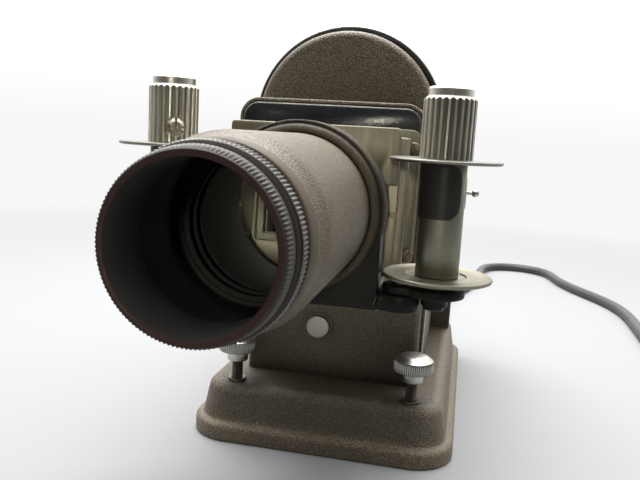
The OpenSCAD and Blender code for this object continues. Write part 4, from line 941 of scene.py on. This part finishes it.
def makeButton(place, r, length, flange, stem, end):
    bm = lathe([
        (0, 0), (r - 0.9, 0), (r - 0.3, 0.15), (r, 0.5), (r, length), (flange, length), (flange, length + 1),
        (stem, length + 1), (stem, end), (0, end)], 64)
    newPiece("pushButton", settle(bm, place, "back"), "buttonSteel", "push_button")


# The cord's two ends.
reliefPlan = {"place": (20, 77, 45), "bore": 4.02, "collar": 7.5, "start": 7.0, "end": 4.6, "length": 32.0, "ribs": 7}
plugPlan = {"place": (294.6, 146, 12.85), "r": 12.85, "length": 34.0, "pins": 6.35, "pin": (1.5, 6.4, 17),
            "pinMiddle": 8.4, "pinEase": 0.3}


def makeRelief(place, bore, collar, start, end, length, ribs):
    outline = [(bore, -3), (collar, -3), (collar, 0), (5.0, 0), (5.0, 1), (collar, 1), (collar, 3.6),
               (collar - 0.4, 4)]
    pitch = (length - 4) / ribs
    for k in range(ribs):
        low = 4 + k * pitch
        r = start + (end - start) * (k + 0.5) / ribs
        outline += [(r - 0.55, low + 0.1), (r - 0.55, low + 1.1), (r, low + 1.5), (r, low + pitch - 0.4)]
    bm = lathe(outline + [(end - 0.4, length), (bore, length)], 64, closed=True)
    return newPiece("strainRelief", settle(bm, place, "back"), "padRubber", "strain_relief")


def makePlug(place, r, length, pins, pin, pinMiddle, pinEase):
    bm = lathe([
        (0, 0), (4.6, 0), (5.2, 0.5), (5.7, 4), (5.3, 4.4), (5.3, 5.4), (5.9, 5.8), (6.4, 9), (8.4, 11.5),
        (11.6, 16.2), (12.6, 17.6), (r, 19), (r, 24.5), (r - 0.5, 25), (r - 0.5, 26), (r, 26.5), (r, 33.2),
        (r - 0.7, length), (0, length)], 64)
    for s in (-1, 1):
        addTo(bm, block(pin, (s * pins, 0, length + pinMiddle), pinEase), 1)
    return newPiece("mainsPlug", settle(bm, place, "back"), "brownPlastic switchBrass", "plug")


makeScrews(screwPlan)
makeButton(**buttonPlan)
strainRelief = makeRelief(**reliefPlan)
mainsPlug = makePlug(**plugPlan)
print("screws, button and cord ends made")


# Castings and gate plates with eased edges: the new name, the finish and the edge's width.
easedEdges = {
    "nose_housing": ("noseShell", "noseEnamelWithEdgeHighlight", 0.5), "face_plate": ("facePlate", "faceEnamel", 0.4),
    "gate_housing": ("gateFlange", "gateNickel", 0.3), "rear_gate_plate": ("rearGatePlate", "gateNickel", 0.3),
    "front_gate_plate": ("frontGatePlate", "gateNickel", 0.35), "support_shelf": ("gateShelf", "shelfNickel", 0.3),
    "lamphouse_skin": ("lamphouseSkin", "bodyEnamel", 0.35), "lens_cell": ("lensCell", "boreBlack", 0.25),
    "rear_cover": ("rearCover", "bodyEnamel", 0.3), "button_bezel": ("buttonBezel", "bodyEnamel", 0.2),
    "switch_plate": ("switchPlate", "switchBrass", 0.3), "front_casting": ("frontCasting", "bodyEnamel", 0.5),
}
for node, (name, finishName, width) in easedEdges.items():
    softened(node, name, finishName, width)


# The rim behind the arched casting: dark in front as painted shade over the arch, its edge bright, standing a little
# further out.
rimPlan = {"width": 1.0, "further": 1.3, "centre": 139.0, "foot": 70.0, "inner": 30.0}


def makeRim(width, further, centre, foot, inner):
    rim = softened("lamphouse_rim", "lamphouseRim", "rimSteel", width)
    rim.data.materials.append(finishes["blackeningAndPaintedShade"])
    rim.data.materials.append(finishes["noseEnamelWithEdgeHighlight"])
    out, centre, foot = further / 1000, centre / 1000, foot / 1000
    bm = bmesh.new()
    bm.from_mesh(rim.data)
    bmesh.ops.bisect_plane(bm, geom=allOf(bm), dist=1e-6, plane_co=(0, 0, centre),
                           plane_no=(0, 0, 1))
    # painted shade: front faces above the arch's centre take the black finish, those below take the nose's enamel
    for face in bm.faces:
        if face.normal.y < -0.9:
            face.material_index = 1 if face.calc_center_median().z > centre else 2
    for v in bm.verts:
        rise = max(v.co.z - centre, 0.0)
        radius = math.hypot(v.co.x, rise)
        if radius > inner / 1000:
            grown = 1 + out / radius * min(max((v.co.z - foot) / (centre - foot), 0.0), 1.0)
            v.co.x *= grown
            v.co.z += rise * (grown - 1)
    bm.to_mesh(rim.data)
    bm.free()


makeRim(**rimPlan)
print("edges eased:", len(easedEdges))


# The pale floor and the soft studio light.
lightPlan = {
    "pale": 0.93, "sky": 1.1, "skyFrom": 0.15, "paper": (0.302, 0.304, 0.307), "paperEnds": (0.28, 0.85),
    "reach": 30.0, "lean": (-0.06, 0.41, 0.91),
    "slopes": ((0.0, 0.02), (0.35, 0.03), (0.50, 0.15), (0.61, 0.7), (0.69, 0.94), (0.745, 0.98), (0.83, 2.1),
               (1.0, 2.1)),
}
daylight = (1.0, 0.94, 0.80)
lamps = {
    "overheadSheet": {"kind": "AREA", "energy": 12.5, "place": (-0.08, 0.16, 0.78), "towards": (0, 0, 0.08),
                      "shape": "SQUARE", "size": 0.6},
    "boreSpot": {"kind": "SPOT", "energy": 13.0, "place": (0.03, -0.62, 0.17), "towards": (-0.006, -0.16, 0.104),
                 "shadow_soft_size": 0.05, "color": daylight, "spot_size": math.radians(7.0), "spot_blend": 0.6},
    "gateFill": {"kind": "POINT", "energy": 0.02, "place": (0.012, -0.098, 0.112), "shadow_soft_size": 0.006,
                 "color": daylight},
}


def slopeLight(tree, vector, plan):
    # bright behind and above the object, dim low in front of it
    spread = remap(tree, vectorMaths(tree, "DOT_PRODUCT", vector, plan["lean"]), -1.0, 1.0)
    curve = addNode(tree, "ShaderNodeFloatCurve", Value=spread)
    line = curve.mapping.curves[0]
    top = plan["slopes"][-1][1]
    while len(line.points) < len(plan["slopes"]):
        line.points.new(0.5, 0.5)
    for point, (place, level) in zip(line.points, plan["slopes"]):
        point.location = (place, level / top)
    curve.mapping.update()
    return times(tree, curve.outputs["Value"], top)


def paleToSight(tree, light, pale):
    # the backdrop looks evenly pale from every side, while its light on the object comes from behind and above
    seen = tree.nodes.new("ShaderNodeLightPath").outputs["Is Camera Ray"]
    return blendColour(tree, seen, light, pale)


def makeFloor(plan):
    bm = bmesh.new()
    bmesh.ops.create_grid(bm, x_segments=1, y_segments=1, size=plan["reach"])
    mesh = meshOf("floorSheet", bm)
    paper = Finish("floorPaper", 0.8, specular=0.0)
    paper.shader.inputs["Emission Strength"].default_value = 1.0
    tree = paper.tree
    far = remap(tree, vectorMaths(tree, "LENGTH", paper.vector), *plan["paperEnds"])
    way = vectorMaths(tree, "NORMALIZE", paper.vector)
    light = times(tree, slopeLight(tree, way, plan), far)
    paper.feed(paleToSight(tree, light, times(tree, far, plan["pale"])), "Emission Color")
    paper.feed(blendColour(tree, far, plan["paper"], (0.0, 0.0, 0.0)), "Base Color")
    mesh.materials.append(paper.material)
    floor = addObject("floorSheet", mesh)


def makeSky(plan):
    world = bpy.data.worlds.new("studioSky")
    world.use_nodes = True
    tree = world.node_tree
    way = tree.nodes.new("ShaderNodeTexCoord").outputs["Generated"]
    above = remap(tree, heightOf(tree, way), 0.0, plan["skyFrom"], plan["pale"], plan["sky"])
    put(tree, paleToSight(tree, slopeLight(tree, way, plan), above), tree.nodes["Background"].inputs["Color"])
    scene.world = world


def addLamp(name, kind, place, towards=None, **settings):
    lamp = bpy.data.lights.new(name, kind)
    for key, value in settings.items():
        setattr(lamp, key, value)
    light = addObject(name, lamp)
    light.location = place
    if towards is not None:
        light.rotation_euler = (Vector(place) - Vector(towards)).to_track_quat("Z", "Y").to_euler()


makeFloor(lightPlan)
makeSky(lightPlan)
for name, lamp in lamps.items():
    addLamp(name, **lamp)
scene.view_settings.view_transform = "Standard"
print("stage lit")
